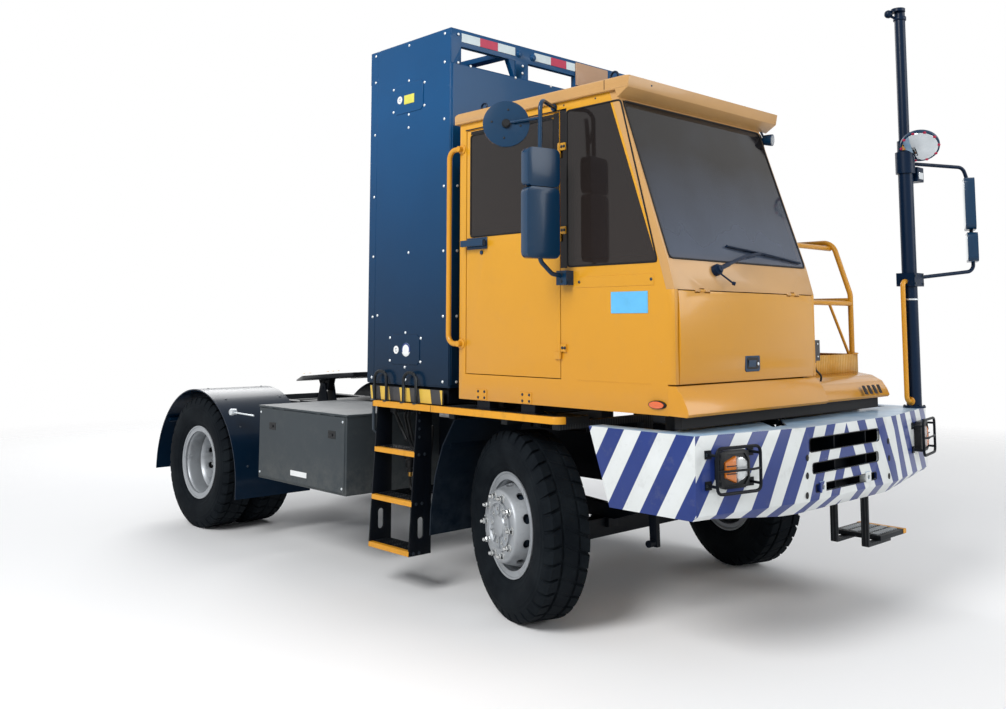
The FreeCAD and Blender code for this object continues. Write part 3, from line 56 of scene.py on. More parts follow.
def aim(o, at, gaze, roll=0.0):
    """Puts a camera or a lamp at a point, looking along gaze."""
    o.location = at
    o.rotation_mode = "QUATERNION"
    o.rotation_quaternion = gaze.to_track_quat("-Z", "Y") @ Matrix.Rotation(roll, 3, "Z").to_quaternion()


CAMERA_AT = (-5.0905, -5.5076, 1.670)
CAMERA_YAW = radians(43.216)
CAMERA_PITCH = radians(5.494)
CAMERA_ROLL = radians(0.09)
camera_data = bpy.data.cameras.new("camera")
camera_data.sensor_width = 36
camera_data.lens = 34.96
camera_data.shift_y = -0.122
scene.camera = placed("camera", camera_data)
camera_gaze = (sin(CAMERA_YAW) * cos(CAMERA_PITCH), cos(CAMERA_YAW) * cos(CAMERA_PITCH), sin(CAMERA_PITCH))
aim(scene.camera, CAMERA_AT, Vector(camera_gaze), CAMERA_ROLL)


# ---- material helpers
def srgb(code):
    """Linear colour from a display colour written as rrggbb."""
    shares = [v / 255 for v in bytes.fromhex(code)]
    return (*(v / 12.92 if v <= 0.04045 else ((v + 0.055) / 1.055) ** 2.4 for v in shares), 1)


def shade(code, k):
    return tuple(min(1, c * k) for c in srgb(code)[:3]) + (1,)


class Nodes:
    """Short calls that add nodes to one tree."""

    def __init__(self, tree):
        self.t = tree

    def feed(self, socket, v):
        if isinstance(v, bpy.types.NodeSocket):
            self.t.links.new(v, socket)
        else:
            socket.default_value = v

    def node(self, kind, out=0, props=None, **inputs):
        """Inputs go by name, or by number as i0, i1 and so on."""
        n = self.t.nodes.new("ShaderNode" + kind)
        for key, v in (props or {}).items():
            setattr(n, key, v)
        for key, v in inputs.items():
            self.feed(n.inputs[int(key[1:]) if key[1:].isdigit() else key.replace("_", " ")], v)
        return n.outputs[out]

    def math(self, op, a, b=0.0, clamp=False):
        return self.node("Math", props={"operation": op, "use_clamp": clamp}, i0=a, i1=b)

    def mul(self, a, b):
        return self.math("MULTIPLY", a, b)

    def add(self, a, b, clamp=False):
        return self.math("ADD", a, b, clamp)

    def sub(self, a, b):
        return self.math("SUBTRACT", a, b)


class Mat(Nodes):
    """A principled material."""

    def __init__(self, name):
        self.m = bpy.data.materials.new(name)
        self.m.use_nodes = True
        super().__init__(self.m.node_tree)
        self.b = self.t.nodes["Principled BSDF"]
        self.co = self.node("TexCoord", "Object")

    def put(self, **values):
        for key, v in values.items():
            self.feed(self.b.inputs[key.replace("_", " ")], v)
        return self.m

    def noise(self, scale, detail=4.0, rough=0.55):
        return self.node("TexNoise", Vector=self.co, Scale=scale, Detail=detail, Roughness=rough)

    def ramp(self, value, low, high, **to):
        return self.node("MapRange", Value=value, From_Min=low, From_Max=high, **to)

    def mix(self, fac, a, b):
        return self.node("Mix", 2, {"data_type": "RGBA", "blend_type": "MIX"}, i0=fac, i6=a, i7=b)

    def axis(self, name, of=None):
        return self.node("SeparateXYZ", name, Vector=self.co if of is None else of)

    def bump(self, height, strength, distance=0.002, **under):
        return self.node("Bump", Strength=strength, Distance=distance, Height=height, **under)

    def wave(self, value, scale):
        return self.math("SINE", self.mul(value, scale))


def paint(name, colour, rough=0.32, coat=0.5, dust=0.12, dust_colour="786e60", low=None, metal=0.0,
          painted_foot_shade=None, spec=0.12):
    """Sprayed paint: slow tone drift, orange peel, dust in patches and a dirty lower edge; when asked, painted
    shade darkens it towards the bottom.
    """
    m = Mat(name)
    base = m.mix(m.ramp(m.noise(1.3, 3), 0.3, 0.7), shade(colour, 0.93), shade(colour, 1.05))
    # painted shade: the colour darkens from z_high down to the dark colour at z_low
    if painted_foot_shade:
        dark, z_low, z_high = painted_foot_shade
        base = m.mix(m.ramp(m.axis("Z"), z_low, z_high), srgb(dark), base)
    dirt = m.mul(m.ramp(m.noise(9, 8, 0.65), 0.52, 0.78), dust)
    if low:
        splash = m.mul(m.ramp(m.axis("Z"), low[1], low[0]), m.ramp(m.noise(14, 8, 0.7), 0.35, 0.65))
        dirt = m.add(dirt, m.mul(splash, 0.55), True)
    dirt = m.add(dirt, m.mul(m.ramp(m.noise(70, 3, 0.5), 0.70, 0.76), dust), True)
    peel = m.bump(m.noise(260, 2), 0.05, 0.0008)
    return m.put(Base_Color=m.mix(dirt, base, srgb(dust_colour)), Metallic=metal, Coat_Weight=coat,
                 Coat_Roughness=0.08, Specular_IOR_Level=spec, Roughness=m.add(m.mul(dirt, 0.4), rough, True),
                 Normal=m.bump(m.noise(3.5, 2), 0.16, 0.006, Normal=peel))


def plastic(name, colour, rough=0.5, grain=500, strength=0.12, metal=0.0):
    m = Mat(name)
    return m.put(Base_Color=m.mix(m.noise(12, 5), shade(colour, 0.82), shade(colour, 1.2)), Roughness=rough,
                 Metallic=metal, Specular_IOR_Level=0.25, Normal=m.bump(m.noise(grain, 2), strength, 0.0006))


def tread(name, colour, worn):
    """Chequer plate: crossed raised bars whose tops are rubbed bright, with grit between them."""
    m = Mat(name)
    turned = m.node("Mapping", Vector=m.co, Scale=(1, 1, 0), Rotation=(0, 0, radians(45)))
    crossed = m.mul(m.wave(m.axis("X", turned), 210.0), m.wave(m.axis("Y", turned), 210.0))
    lug = m.ramp(crossed, 0.25, 0.6)
    rub = m.mul(lug, m.ramp(m.noise(8, 5), 0.35, 0.75))
    grit = m.mix(m.noise(40, 6), shade(colour, 0.75), shade(colour, 1.3))
    return m.put(Base_Color=m.mix(rub, grit, srgb(worn)), Roughness=0.5, Specular_IOR_Level=0.2,
                 Normal=m.bump(lug, 0.8, 0.002))


def rubber(name):
    """Tyre rubber: near black, greyed by dust on the sidewall, with a fine pebbled skin."""
    m = Mat(name)
    dust = m.ramp(m.noise(5, 7, 0.65), 0.42, 0.72)
    return m.put(Base_Color=m.mix(dust, srgb("0b1015"), srgb("181d21")), Roughness=0.8,
                 Specular_IOR_Level=0.08,
                 Normal=m.bump(m.noise(420, 3), 0.2, 0.0008, Normal=m.bump(m.noise(22, 3), 0.25, 0.0015)))


def woven(name, colour):
    """Seat cloth: a fine basket weave with a little fuzz of tone."""
    m = Mat(name)
    weave = m.mul(m.wave(m.axis("X"), 2400.0), m.wave(m.add(m.axis("Y"), m.axis("Z")), 2400.0))
    tone = m.mix(m.ramp(weave, -1.0, 1.0), shade(colour, 0.7), shade(colour, 1.35))
    tone = m.mix(m.ramp(m.noise(6, 4), 0.3, 0.7), tone, shade(colour, 0.85))
    return m.put(Base_Color=tone, Roughness=0.92, Sheen_Weight=0.3, Normal=m.bump(weave, 0.4, 0.0006))


STRIPE_MIDDLE = 0.068
STRIPE_TOP = 1.137
STRIPE_BLUE = "1e3476"


def striped(name):
    """White paint with blue bars that lean outwards to the foot on both sides of the middle; faces that look up
    get a painted sky reflection in pale blue instead.
    """
    m = Mat(name)
    x = m.axis("X")
    run = m.add(m.math("ABSOLUTE", m.add(x, STRIPE_MIDDLE)), STRIPE_MIDDLE)
    drop = m.sub(STRIPE_TOP, m.axis("Z"))

    def lean(value, slope):
        return m.sub(value, m.mul(drop, slope))

    def bars(value, start, period, width):
        share = m.math("FRACT", m.math("DIVIDE", m.sub(value, start), period))
        return m.mul(m.ramp(share, 0.0, 0.01), m.ramp(share, width + 0.01, width))

    def pick(switch, low, high):
        return m.add(m.mul(low, m.sub(1.0, switch)), m.mul(high, switch))

    near = lean(run, 0.52)
    lone = m.mul(m.ramp(lean(run, 0.48), 0.600, 0.602), m.ramp(lean(run, 0.58), 0.684, 0.682))
    bar = pick(m.ramp(near, 0.555, 0.557), bars(near, 0.405, 0.212, 0.44), lone)
    outer = lean(run, 0.67)
    bar = pick(m.ramp(outer, 0.738, 0.742), bar, bars(outer, 0.768, 0.228, 0.5))
    flank = lean(m.add(m.axis("Y"), 2.7215), 0.577)
    bar = pick(m.ramp(m.math("ABSOLUTE", x), 1.2450, 1.2456), bar, bars(flank, 0.0, 0.2125, 0.494))
    # painted sky reflection: faces that look up lose the bars and take a pale blue
    up = m.ramp(m.axis("Z", m.node("NewGeometry", "Normal")), 0.55, 0.8)
    chipped = m.ramp(m.noise(26, 9, 0.72), 0.27, 0.31)
    bar = m.mul(m.mul(bar, m.sub(1.0, up)), chipped)
    white = m.mix(m.ramp(m.noise(5, 6), 0.35, 0.75), srgb("d8dcdc"), srgb("ced2d0"))
    blue = m.mix(m.noise(4, 4), shade(STRIPE_BLUE, 0.8), shade(STRIPE_BLUE, 1.15))
    painted_sky_top = m.mix(m.ramp(m.noise(6, 5), 0.4, 0.7), srgb("88a6c2"), srgb("acc2d4"))
    dirt = m.mul(m.ramp(m.noise(11, 9, 0.7), 0.56, 0.8), 0.28)
    colour = m.mix(dirt, m.mix(up, m.mix(bar, white, blue), painted_sky_top), srgb("76746c"))
    return m.put(Base_Color=colour, Roughness=0.34, Coat_Weight=0.15, Specular_IOR_Level=0.25,
                 Normal=m.bump(m.noise(3.2, 2), 0.14, 0.006, Normal=m.bump(m.noise(240, 2), 0.05, 0.0008)))


def tinted(name, top, foot, low, high, clear):
    """Dark tinted pane that pales towards the bottom, glossy as a mirror."""
    m = Mat(name)
    up = m.ramp(m.axis("Z"), low, high)
    blur = m.add(up, m.mul(m.sub(m.noise(2.2, 3), 0.5), 0.5), True)
    return m.put(Base_Color=m.mix(blur, srgb(foot), srgb(top)), Roughness=0.05, Specular_IOR_Level=0.3,
                 Alpha=m.ramp(m.axis("Z"), low, high, To_Min=clear, To_Max=0.96))


def lens(name, colour, clear):
    """Moulded lamp lens with fine flutes."""
    m = Mat(name)
    return m.put(Base_Color=m.mix(m.noise(30, 2), shade(colour, 0.85), srgb(colour)), Roughness=0.08,
                 Coat_Weight=1.0, Alpha=clear, Normal=m.bump(m.wave(m.axis("Z"), 900.0), 0.25, 0.0008))


# the ochre and the tower blue carry painted shade that darkens them towards the bottom
M = {
    "yellow": paint("ochre_paint", "d09622", 0.26, 0.22, 0.05, painted_foot_shade=("c88a22", 1.2, 2.4), spec=0.3),
    "rail": paint("rail_paint", "ce9024", 0.34, 0.15, spec=0.3),
    "tan": paint("roof_paint", "be925a", 0.34, 0.15, 0.08, spec=0.3),
    "blue": paint("tower_paint", "0e4876", 0.26, 0.06, 0.05, "283a4c", painted_foot_shade=("092034", 1.3, 3.1)),
    "black": paint("chassis_paint", "090e15", 0.46, 0.0, 0.12, "2c2e32"),
    "mast": paint("mast_paint", "051c34", 0.34, 0.05, 0.04, "28384a"),
    "fender": paint("fender_paint", "061a2c", 0.30, 0.08, 0.10, "30383e"),
    "locker": paint("locker_paint", "3c4246", 0.46, 0.0, 0.22, "606260", (0.55, 0.8)),
    "guard": paint("guard_paint", "081420", 0.42, 0.0, 0.2, "2e363e", (0.4, 1.1)),
    "silver": paint("wheel_paint", "9ea2a6", 0.4, 0.1, 0.35, "585450", metal=0.5),
    "mirror_shell": paint("mirror_shell", "083250", 0.24, 0.12, 0.04, spec=0.25),
    "board": paint("board_paint", "3e3e40", 0.45, 0.2, 0.2),
    "lemon": paint("board_yellow", "d6b24c", 0.42, 0.3, 0.25, "6e6450"),
    "nosing": paint("nosing_paint", "d49428", 0.44, 0.25, 0.35, "5c4a30"),
    "cover": paint("cover_paint", "b09076", 0.5, 0.1, 0.15),
    "bumper": striped("bumper_paint"),
    "plastic": plastic("black_plastic", "141619", 0.42),
    "bolt_blue": plastic("bolt_dull", "343c44", 0.4, 300, 0.1, 0.6),
    "zinc": plastic("zinc_bolt", "ced4d8", 0.3, 300, 0.1, 0.5),
    "chrome": plastic("nut_metal", "bec0c0", 0.2, 200, 0.1, 0.9),
    "gasket": plastic("window_rubber", "0e0e10", 0.6, 300, 0.2),
    "gloss_black": plastic("gloss_black", "141214", 0.08, 200, 0.02),
    "cabin": plastic("cabin_plastic", "2e3034", 0.6, 600, 0.3),
    "cloth": woven("seat_cloth", "282a32"),
    "piping": plastic("seat_piping", "1a1b1e", 0.7, 700, 0.4),
    "hose": plastic("air_hose", "101113", 0.5, 300, 0.2),
    "brass": plastic("brass_fitting", "a8803e", 0.3, 200, 0.1, 0.9),
    "tyre": rubber("tyre_rubber"),
    "steel": plastic("greased_steel", "202226", 0.3, 60, 0.25, 0.5),
    "rust": plastic("rubbed_edge", "783428", 0.6, 90, 0.3, 0.2),
    "glass": tinted("dark_glass", "221e1d", "282220", 2.0, 2.75, 0.93),
    "screen": tinted("windshield_glass", "1a1614", "545e70", 2.03, 2.6, 0.80),
    "mirror_glass": plastic("mirror_glass", "d2d8dc", 0.03, 100, 0.0, 1.0),
    "amber": lens("amber_lens", "de7a1e", 0.92),
    "orange": lens("marker_lens", "e2601a", 0.95),
    "clear": lens("clear_lens", "e2e6e8", 0.45),
    "bulb": plastic("lamp_reflector", "d6d8d8", 0.12, 100, 0.05, 1.0),
    "white": plastic("white_label", "e2e4e4", 0.45, 200, 0.1),
    "sky": plastic("blank_plate", "60b0de", 0.4, 200, 0.1),
    "red": plastic("red_tape", "ba3052", 0.35, 300, 0.15),
    "tape": plastic("white_tape", "cedee4", 0.35, 300, 0.15),
    "plate_yellow": plastic("blank_yellow_plate", "d6d05c", 0.4, 200, 0.1),
    "tail_red": lens("tail_lens", "961012", 0.96),
    "red_hose": plastic("red_air_hose", "961a18", 0.45, 300, 0.2),
    "yellow_hose": plastic("yellow_air_hose", "ce9c24", 0.45, 300, 0.2),
    "tread": tread("tread_black", "161a1e", "5c6062"),
    "tread_yellow": tread("tread_yellow", "c48c2c", "debe82"),
}

# ---- the carried-over pieces
# which look each piece gets, and after a colon how wide its edges are rounded, in millimetres
LOOK = {
    "yellow": "cab_floor:2 cab_left_wall:3 cab_right_wall:3 cab_rear_wall:2 front_skirt:4 front_hatch:3 "
              "cab_door:2.5",
    "rail": "deck_railing grab_rails",
    "tread_yellow": "left_deck:2",
    "tan": "cab_roof:7 windshield_frame:3",
    "cover": "tower_cover_plate:2",
    "blue": "battery_cabinet:3 tower_parapet:2",
    "mast": "left_mast",
    "fender": "rear_fender_left rear_fender_right",
    "guard": "front_mudguards",
    "black": "chassis_rail_left:2 chassis_rail_right:2 cross_members:2 front_axle_beam:4 front_springs "
             "rear_axle:3 drive_motor:4 propshaft cab_supports:3 tower_base:4 ladder:1.5 air_tanks "
             "coupling_base:2 steering_gear:5 tie_rod steering_knuckle_left steering_knuckle_right",
    "tread": "right_walkway:2 left_front_step:2",
    "locker": "side_lockers:3",
    "silver": "front_wheel_left front_wheel_right rear_wheels_left rear_wheels_right",
    "tyre": "front_tyre_left front_tyre_right rear_tyres_left rear_tyres_right",
    "bumper": "front_bumper:2.5",
    "plastic": "headlamps:4",
    "mirror_shell": "right_mirror_arm right_mirrors:9 left_mirrors:9",
    "cabin": "dashboard:12 steering_wheel",
    "cloth": "driver_seat",
    "glass": "cab_glass door_glass",
    "steel": "coupling_plate:4",
}


def bevel(o, width, segments=2, limit=40):
    """Rounds the edges that turn by more than the limit; the width is in millimetres."""
    edge = o.modifiers.new("edge", "BEVEL")
    edge.width = width / 1000
    edge.segments = segments
    edge.limit_method = "ANGLE"
    edge.angle_limit = radians(limit)


for key, row in LOOK.items():
    for word in row.split():
        node, _, width = word.partition(":")
        N[node].data.materials.clear()
        N[node].data.materials.append(M[key])
        if width:
            weld = N[node].modifiers.new("join", "WELD")
            weld.merge_threshold = 0.00002
            bevel(N[node], float(width), 3, 38)
            N[node].data.shade_smooth()

SCREEN_BACK = -2.27
panes = N["cab_glass"].data
panes.materials.append(M["screen"])
for face in panes.polygons:
    if face.center.y < SCREEN_BACK and abs(face.normal.x) < 0.9:
        face.material_index = 1

# ---- mesh helpers
# pieces are drawn in millimetres, with y counted from the front axle and z from 28 mm under the ground
FIT = Matrix.Translation((0, -1.4165, -0.028)) @ Matrix.Scale(0.001, 4)
QUARTERS = (0, 0.25, 0.5, 0.75, 1)
THIRDS = (0, 0.33, 0.67, 1)
SIXTHS = tuple(k / 6 for k in range(7))


def turns(n, start=0.0):
    """n equal turns of a circle, in radians."""
    return [start + 2 * pi * k / n for k in range(n)]


def circle(centre, r, n, u=X, v=Y, start=0.0):
    """n points round a centre, in the plane of u and v."""
    return [Vector(centre) + (u * cos(t) + v * sin(t)) * r for t in turns(n, start)]


def across(axis):
    """Two directions square to an axis."""
    u = Vector(axis).orthogonal().normalized()
    return u, Vector(axis).normalized().cross(u)


def bend(a, b, c, reach, shares=QUARTERS):
    """Points round the corner b, from the side of a to the side of c."""
    start = b + (a - b).normalized() * reach
    end = b + (c - b).normalized() * reach
    return [start * (1 - t) ** 2 + b * 2 * t * (1 - t) + end * t * t for t in shares]


def rounded(corners, reach, shares=QUARTERS):
    """A closed outline with rounded corners."""
    pts = [Vector(p) for p in corners]
    return [q for a, b, c in zip(pts[-1:] + pts, pts, pts[1:] + pts[:1]) for q in bend(a, b, c, reach, shares)]


def arc_points(points, radius):
    """Straight runs joined by arcs, for bent metal tube."""
    pts = [Vector(p) for p in points]
    out = [pts[0]]
    for a, b, c in zip(pts, pts[1:], pts[2:]):
        out += bend(a, b, c, radius / tan((a - b).angle(c - b) / 2), SIXTHS)
    return out + [pts[-1]]


class Shape:
    """Gathers many small solids into one mesh."""

    def __init__(self, place=FIT):
        self.bm = bmesh.new()
        self.place = place
        self.slot = 0

    def use(self, slot):
        self.slot = slot
        return self

    def skin(self, rings, closed=False):
        rows = [[self.bm.verts.new(self.place @ Vector(p)) for p in ring] for ring in rings]
        n = len(rows[0])
        faces = []
        for a, b in zip(rows, rows[1:] + ([rows[0]] if closed else [])):
            faces += [(a[i], a[(i + 1) % n], b[(i + 1) % n], b[i]) for i in range(n)]
        if not closed:
            faces += [rows[0][::-1], rows[-1]]
        for f in faces:
            new = self.bm.faces.new(f)
            new.material_index = self.slot
            new.smooth = True
        return self

    def block(self, x, y, z):
        return self.skin([[(x[0], y[0], c), (x[1], y[0], c), (x[1], y[1], c), (x[0], y[1], c)] for c in z])

    def blocks(self, *rows):
        for row in rows:
            self.block(*row)
        return self

    def prism(self, points, shift):
        return self.skin([points, [Vector(p) + Vector(shift) for p in points]])

    def lathe(self, profile, at, axis, n=24, closed=False, oval=1.0, turn=0.0):
        axis = Vector(axis).normalized()
        u = Z if abs(axis.z) < 0.9 else X
        u = (u - axis * u.dot(axis)).normalized()
        v = axis.cross(u)
        rings = [circle(Vector(at) + axis * along, max(r, 0.05), n, u * oval, v, turn) for along, r in profile]
        return self.skin(rings, closed)

    def lathes(self, profile, places, axis, n=24, **how):
        """The same turned part at several places."""
        for at in places:
            self.lathe(profile, at, axis, n, **how)
        return self

    def rod(self, a, b, r, n=16):
        a, b = Vector(a), Vector(b)
        length = (b - a).length
        c = min(r * 0.2, length * 0.2)
        return self.lathe([(0, r - c), (c, r), (length - c, r), (length, r - c)], a, b - a, n)

    def tube(self, points, r, n=10, loop=False):
        pts = [Vector(p) for p in points]
        last = len(pts) - 1
        normal = None
        rings = []
        for i, p in enumerate(pts):
            before = pts[i - 1] if (i or loop) else p
            after = pts[(i + 1) % len(pts)] if (i < last or loop) else p
            along = (after - before).normalized()
            if normal is None:
                normal = along.orthogonal().normalized()
            normal = (normal - along * normal.dot(along)).normalized()
            rings.append(circle(p, r, n, normal, along.cross(normal)))
        return self.skin(rings, loop)

    def hoop(self, centre, r, thick, n, sides, u=X, v=Y):
        """A closed round ring of wire."""
        return self.tube(circle(centre, r, n, u, v), thick, sides, True)

    def bolts(self, places, axis, r=8.0, h=6.0):
        """Hexagon heads with washers."""
        self.lathes([(0, r * 1.4), (h * 0.25, r * 1.4), (h * 0.25, r * 1.1)], places, axis, 14)
        return self.lathes([(h * 0.2, r), (h * 0.85, r), (h, r * 0.8)], places, axis, 6)

    def domes(self, places, axis, r=8.0, h=5.0):
        """Round button heads."""
        return self.lathes([(0, r), (h * 0.4, r), (h * 0.8, r * 0.75), (h, r * 0.3)], places, axis, 14)

    def done(self, name, mats, body="root", edge=0.0, sharp=35, hides=(), slot=None):
        bmesh.ops.recalc_face_normals(self.bm, faces=self.bm.faces)
        mesh = bpy.data.meshes.new(name)
        self.bm.to_mesh(mesh)
        self.bm.free()
        mesh.set_sharp_from_angle(angle=radians(sharp))
        o = placed(name, mesh)
        for m in [mats] if isinstance(mats, str) else mats:
            mesh.materials.append(M[m])
        if edge:
            bevel(o, edge)
        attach(o, body)
        if hides:
            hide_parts(*hides)
        return o


def plates(name, mats, rows, body="root", **how):
    """A piece made of plates and bars."""
    return Shape().blocks(*rows).done(name, mats, body, **how)


def pipe(name, mat, points, radius):
    """A hose or cable fixed at both ends, as a smooth curve in millimetres."""
    data = bpy.data.curves.new(name, "CURVE")
    data.dimensions = "3D"
    data.bevel_depth = radius / 1000
    data.bevel_resolution = 3
    data.use_fill_caps = True
    line = data.splines.new("NURBS")
    line.points.add(len(points) - 1)
    for p, q in zip(line.points, points):
        p.co = (*(FIT @ Vector(q)), 1)
    line.order_u = 3
    line.use_endpoint_u = True
    line.resolution_u = 8
    data.materials.append(M[mat])
    o = placed(name, data)
    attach(o, "root")
    return o


def baked(o):
    """The object's mesh with its modifiers worked out; the object itself goes."""
    view = bpy.context.evaluated_depsgraph_get()
    mesh = bpy.data.meshes.new_from_object(o.evaluated_get(view))
    bpy.data.objects.remove(o, do_unlink=True)
    return mesh


# ---- wheels and tyres
AXLE_Z = 560
REAR_Y = 3710
KINGPIN_X = 905
STEERED = radians(-17.5)
FRONT_X = 1028
TWIN_X = (960 + 175, 960 - 175)
PITCHES = 36


def wheel_place(side, x, y, turn=0.0):
    """First axis outboard from the middle of the tyre, millimetres."""
    pin = Matrix.Translation((side * KINGPIN_X, 0, 0))
    steered = pin @ Matrix.Rotation(turn, 4, "Z") @ pin.inverted()
    return FIT @ steered @ Matrix.Translation((side * x, y, AXLE_Z)) @ Matrix.Diagonal((side, 1, 1, 1))


def tyre_line():
    """Half of the section: axial place, radius, and how far a groove pulls the point in on both."""
    line = [(106, 255, 0, 0), (106, 297.5, 0, 0)]
    ridge = {316: 2.2, 320: 2.2, 348: 1.3, 351: 1.3, 446: 1.4, 450: 1.4, 470: 1.6, 474: 1.6}
    for r in (303, 309, 314, 316, 320, 322, 332, 346, 348, 351, 353, 372,
              392, 413, 430, 444, 446, 450, 452, 462, 468, 470, 474, 476):
        fall = 40.0 * ((413 - r) / 115) ** 2 if r < 413 else 17.0 * ((r - 413) / 93) ** 2
        line.append((146.6 - fall + ridge.get(r, 0) * 0.5, r, 0, 0))
    line += [(135, 488, 7, 0), (129, 506, 8, 4), (121, 519, 8, 10), (110, 531.6, 4, 15), (98, 532, 0, 15),
             (76, 532, 0, 14), (60, 532, 0, 13), (56, 521, 0, 2), (45, 520, 0, 0), (41, 532, 0, 4),
             (27, 532, 0, 4), (9, 532, 0, 2)]
    return line


def add_tyres(name, hides, body, places):
    half = tyre_line()
    section = half + [(-a, r, -ga, gr) for a, r, ga, gr in reversed(half)]
    rings = []
    for k in range(PITCHES):
        for part, depth in ((0.0, 0), (0.035, 1), (0.21, 1), (0.245, 0), (0.62, 0)):
            ring = []
            for a, r, give_a, give_r in section:
                shear = 0.25 - 0.25 * max(-1, min(1, a / 50)) + 0.35 * max(0, (abs(a) - 50) / 90)
                t = 2 * pi * (k + part + shear) / PITCHES
                reach = r - give_r * depth
                ring.append((a - give_a * depth, reach * cos(t), reach * sin(t)))
            rings.append(ring)
    shape = Shape()
    for place in places:
        shape.place = place
        shape.skin(rings, True)
    shape.done(name, "tyre", body, sharp=28, hides=(hides,), slot="tyre_black")


BARREL = [(115, 298), (115, 293), (112, 287), (105, 284), (101, 270), (95, 258), (86, 250), (74, 246),
          (60, 243), (-74, 243), (-90, 250), (-101, 270), (-112, 285), (-115, 293), (-115, 298), (-108, 298),
          (-108, 254), (108, 254), (108, 298)]
DISC = [(35, 243), (58, 237), (100, 225), (140, 213), (158, 207), (168, 203), (173, 198), (174.8, 192),
        (174.8, 140.4), (160.8, 140.4), (160.8, 186), (156, 192), (139, 199), (98, 210), (50, 222), (22, 240)]
DRUM = [(-212, 200), (-190, 203), (-186, 200), (-100, 200), (-96, 203), (-80, 200), (-64, 184), (-14.3, 184),
        (-14.3, 140), (-14.3, 46), (-96, 46), (-96, 185), (-212, 185)]
HOLES = 10


def add_disc(shape, out):
    """The pressed disc with its oval hand holes; out is -1 where it is dished."""
    solid = Shape(shape.place).lathe([(a * out, r) for a, r in DISC], (0, 0, 0), X, 90, True)
    solid = solid.done("disc", "silver")
    cut = Shape(shape.place)
    for spoke in circle((0, 0, 0), 1, HOLES, Y, Z, pi / HOLES):
        axis = X * 0.30 * out + spoke * 0.954
        wide = X.cross(spoke)
        tall = axis.normalized().cross(wide)
        centre = X * 104 * out + spoke * 221
        cut.skin([[centre + axis * d + wide * 28 * cos(t) + tall * 22 * sin(t) for t in turns(20)]
                  for d in (-34, 34)])
    tool = cut.done("cutter", "silver")
    hole = solid.modifiers.new("holes", "BOOLEAN")
    hole.object = tool
    hole.operation = "DIFFERENCE"
    hole.solver = "EXACT"
    bevel(solid, 2)
    mesh = baked(solid)
    bpy.data.objects.remove(tool, do_unlink=True)
    before = len(shape.bm.faces)
    shape.bm.from_mesh(mesh)
    shape.bm.faces.ensure_lookup_table()
    for f in shape.bm.faces[before:]:
        f.smooth = True
        f.material_index = 0


def add_hub(shape, face, nose):
    """Drum, hub and ten wheel nuts on the face of the disc."""
    shape.use(1)
    for t, at in zip(turns(HOLES), circle((face, 0, 0), 167.5, HOLES, Y, Z)):
        shape.lathe([(0, 22), (3, 22), (5, 19)], at, X, 16)
        shape.lathe([(3, 16.5), (22, 16.5), (25, 13.5)], at, X, 6, turn=t)
        shape.lathe([(20, 12), (34, 11.5), (40, 9), (43, 4)], at, X, 12)
    foot = face + 0.05 if face > 0 else face - 14.55
    shape.use(2).lathe(DRUM, (foot, 0, 0), X, 60, True)
    shape.use(0).lathe([(-14.3, 140)] + nose + [(-9, 46), (-14.3, 46)], (foot, 0, 0), X, 60, True)


def build_wheels():
    for side, word in SIDES:
        body = "front_" + word + "_wheel"
        place = wheel_place(side, FRONT_X, 0, STEERED)
        add_tyres("tyre_front_" + word, "front_tyre_" + word, body, [place])
        rim = Shape(place)
        rim.lathe(BARREL, (0, 0, 0), X, 90, True)
        add_disc(rim, 1)
        add_hub(rim, 174.8, [(8, 140), (8, 127), (3, 125), (-4, 121), (-4, 67), (0, 63), (8, 60), (12, 52),
                             (14, 36), (14.5, 1), (-9, 1)])
        for spoke in circle((0, 0, 0), 1, HOLES, Y, Z, pi / HOLES):
            wide = X.cross(spoke)
            rib = ((68, -3), (120, -5), (120, 5), (68, 3))
            rim.prism([X * 170 + spoke * r + wide * w for r, w in rib], X * 9)
        rim.use(1).bolts(circle((170.8, 0, 0), 96, HOLES, Y, Z, 2 * pi / HOLES), X, 8, 8)
        rim.tube([(118, 262, 30), (126, 266, 24), (140, 262, 18), (150, 250, 12)], 4, 8)
        rim.done("rim_front_" + word, ["silver", "chrome", "guard"], body, sharp=32,
                 hides=("front_wheel_" + word,), slot="wheel_silver")

        body = "rear_" + word + "_wheels"
        outer, inner = [wheel_place(side, x, REAR_Y) for x in TWIN_X]
        add_tyres("tyres_rear_" + word, "rear_tyres_" + word, body, [outer, inner])
        rims = Shape(outer)
        rims.lathe(BARREL, (0, 0, 0), X, 90, True)
        add_disc(rims, -1)
        rims.tube([(60, 226, 30), (90, 232, 24), (112, 238, 20), (126, 240, 18)], 4, 8)
        add_hub(rims, -160.6, [(18, 140), (20, 132), (26, 114), (100, 106), (108, 104), (116, 98), (120, 92),
                               (124, 84), (124, 30), (121, 28), (121, 1), (70, 1)])
        rims.use(1).bolts(circle((-51.2, 0, 0), 80, HOLES, Y, Z, radians(9)), X, 8, 9)
        rims.bolts(circle((-155.5, 0, 0), 126, HOLES, Y, Z, radians(9)), X, 6, 7)
        rims.place = inner
        rims.use(0).lathe(BARREL, (0, 0, 0), X, 60, True)
        add_disc(rims, 1)
        rims.done("rims_rear_" + word, ["silver", "chrome", "guard"], body, sharp=32,
                  hides=("rear_wheels_" + word,), slot="wheel_silver")


build_wheels()

# ---- cab outside
CAB_X = -1230
SEAL_X = CAB_X - 0.5
LEFT_SEAL_X = 90.5
SCREEN_Y = -1160
SCREEN_RUN, SCREEN_RISE = 290, 845
SCREEN_UP = Vector((0, SCREEN_RUN, SCREEN_RISE)).normalized()
SCREEN_OUT = Vector((0, -SCREEN_RISE, SCREEN_RUN)).normalized()


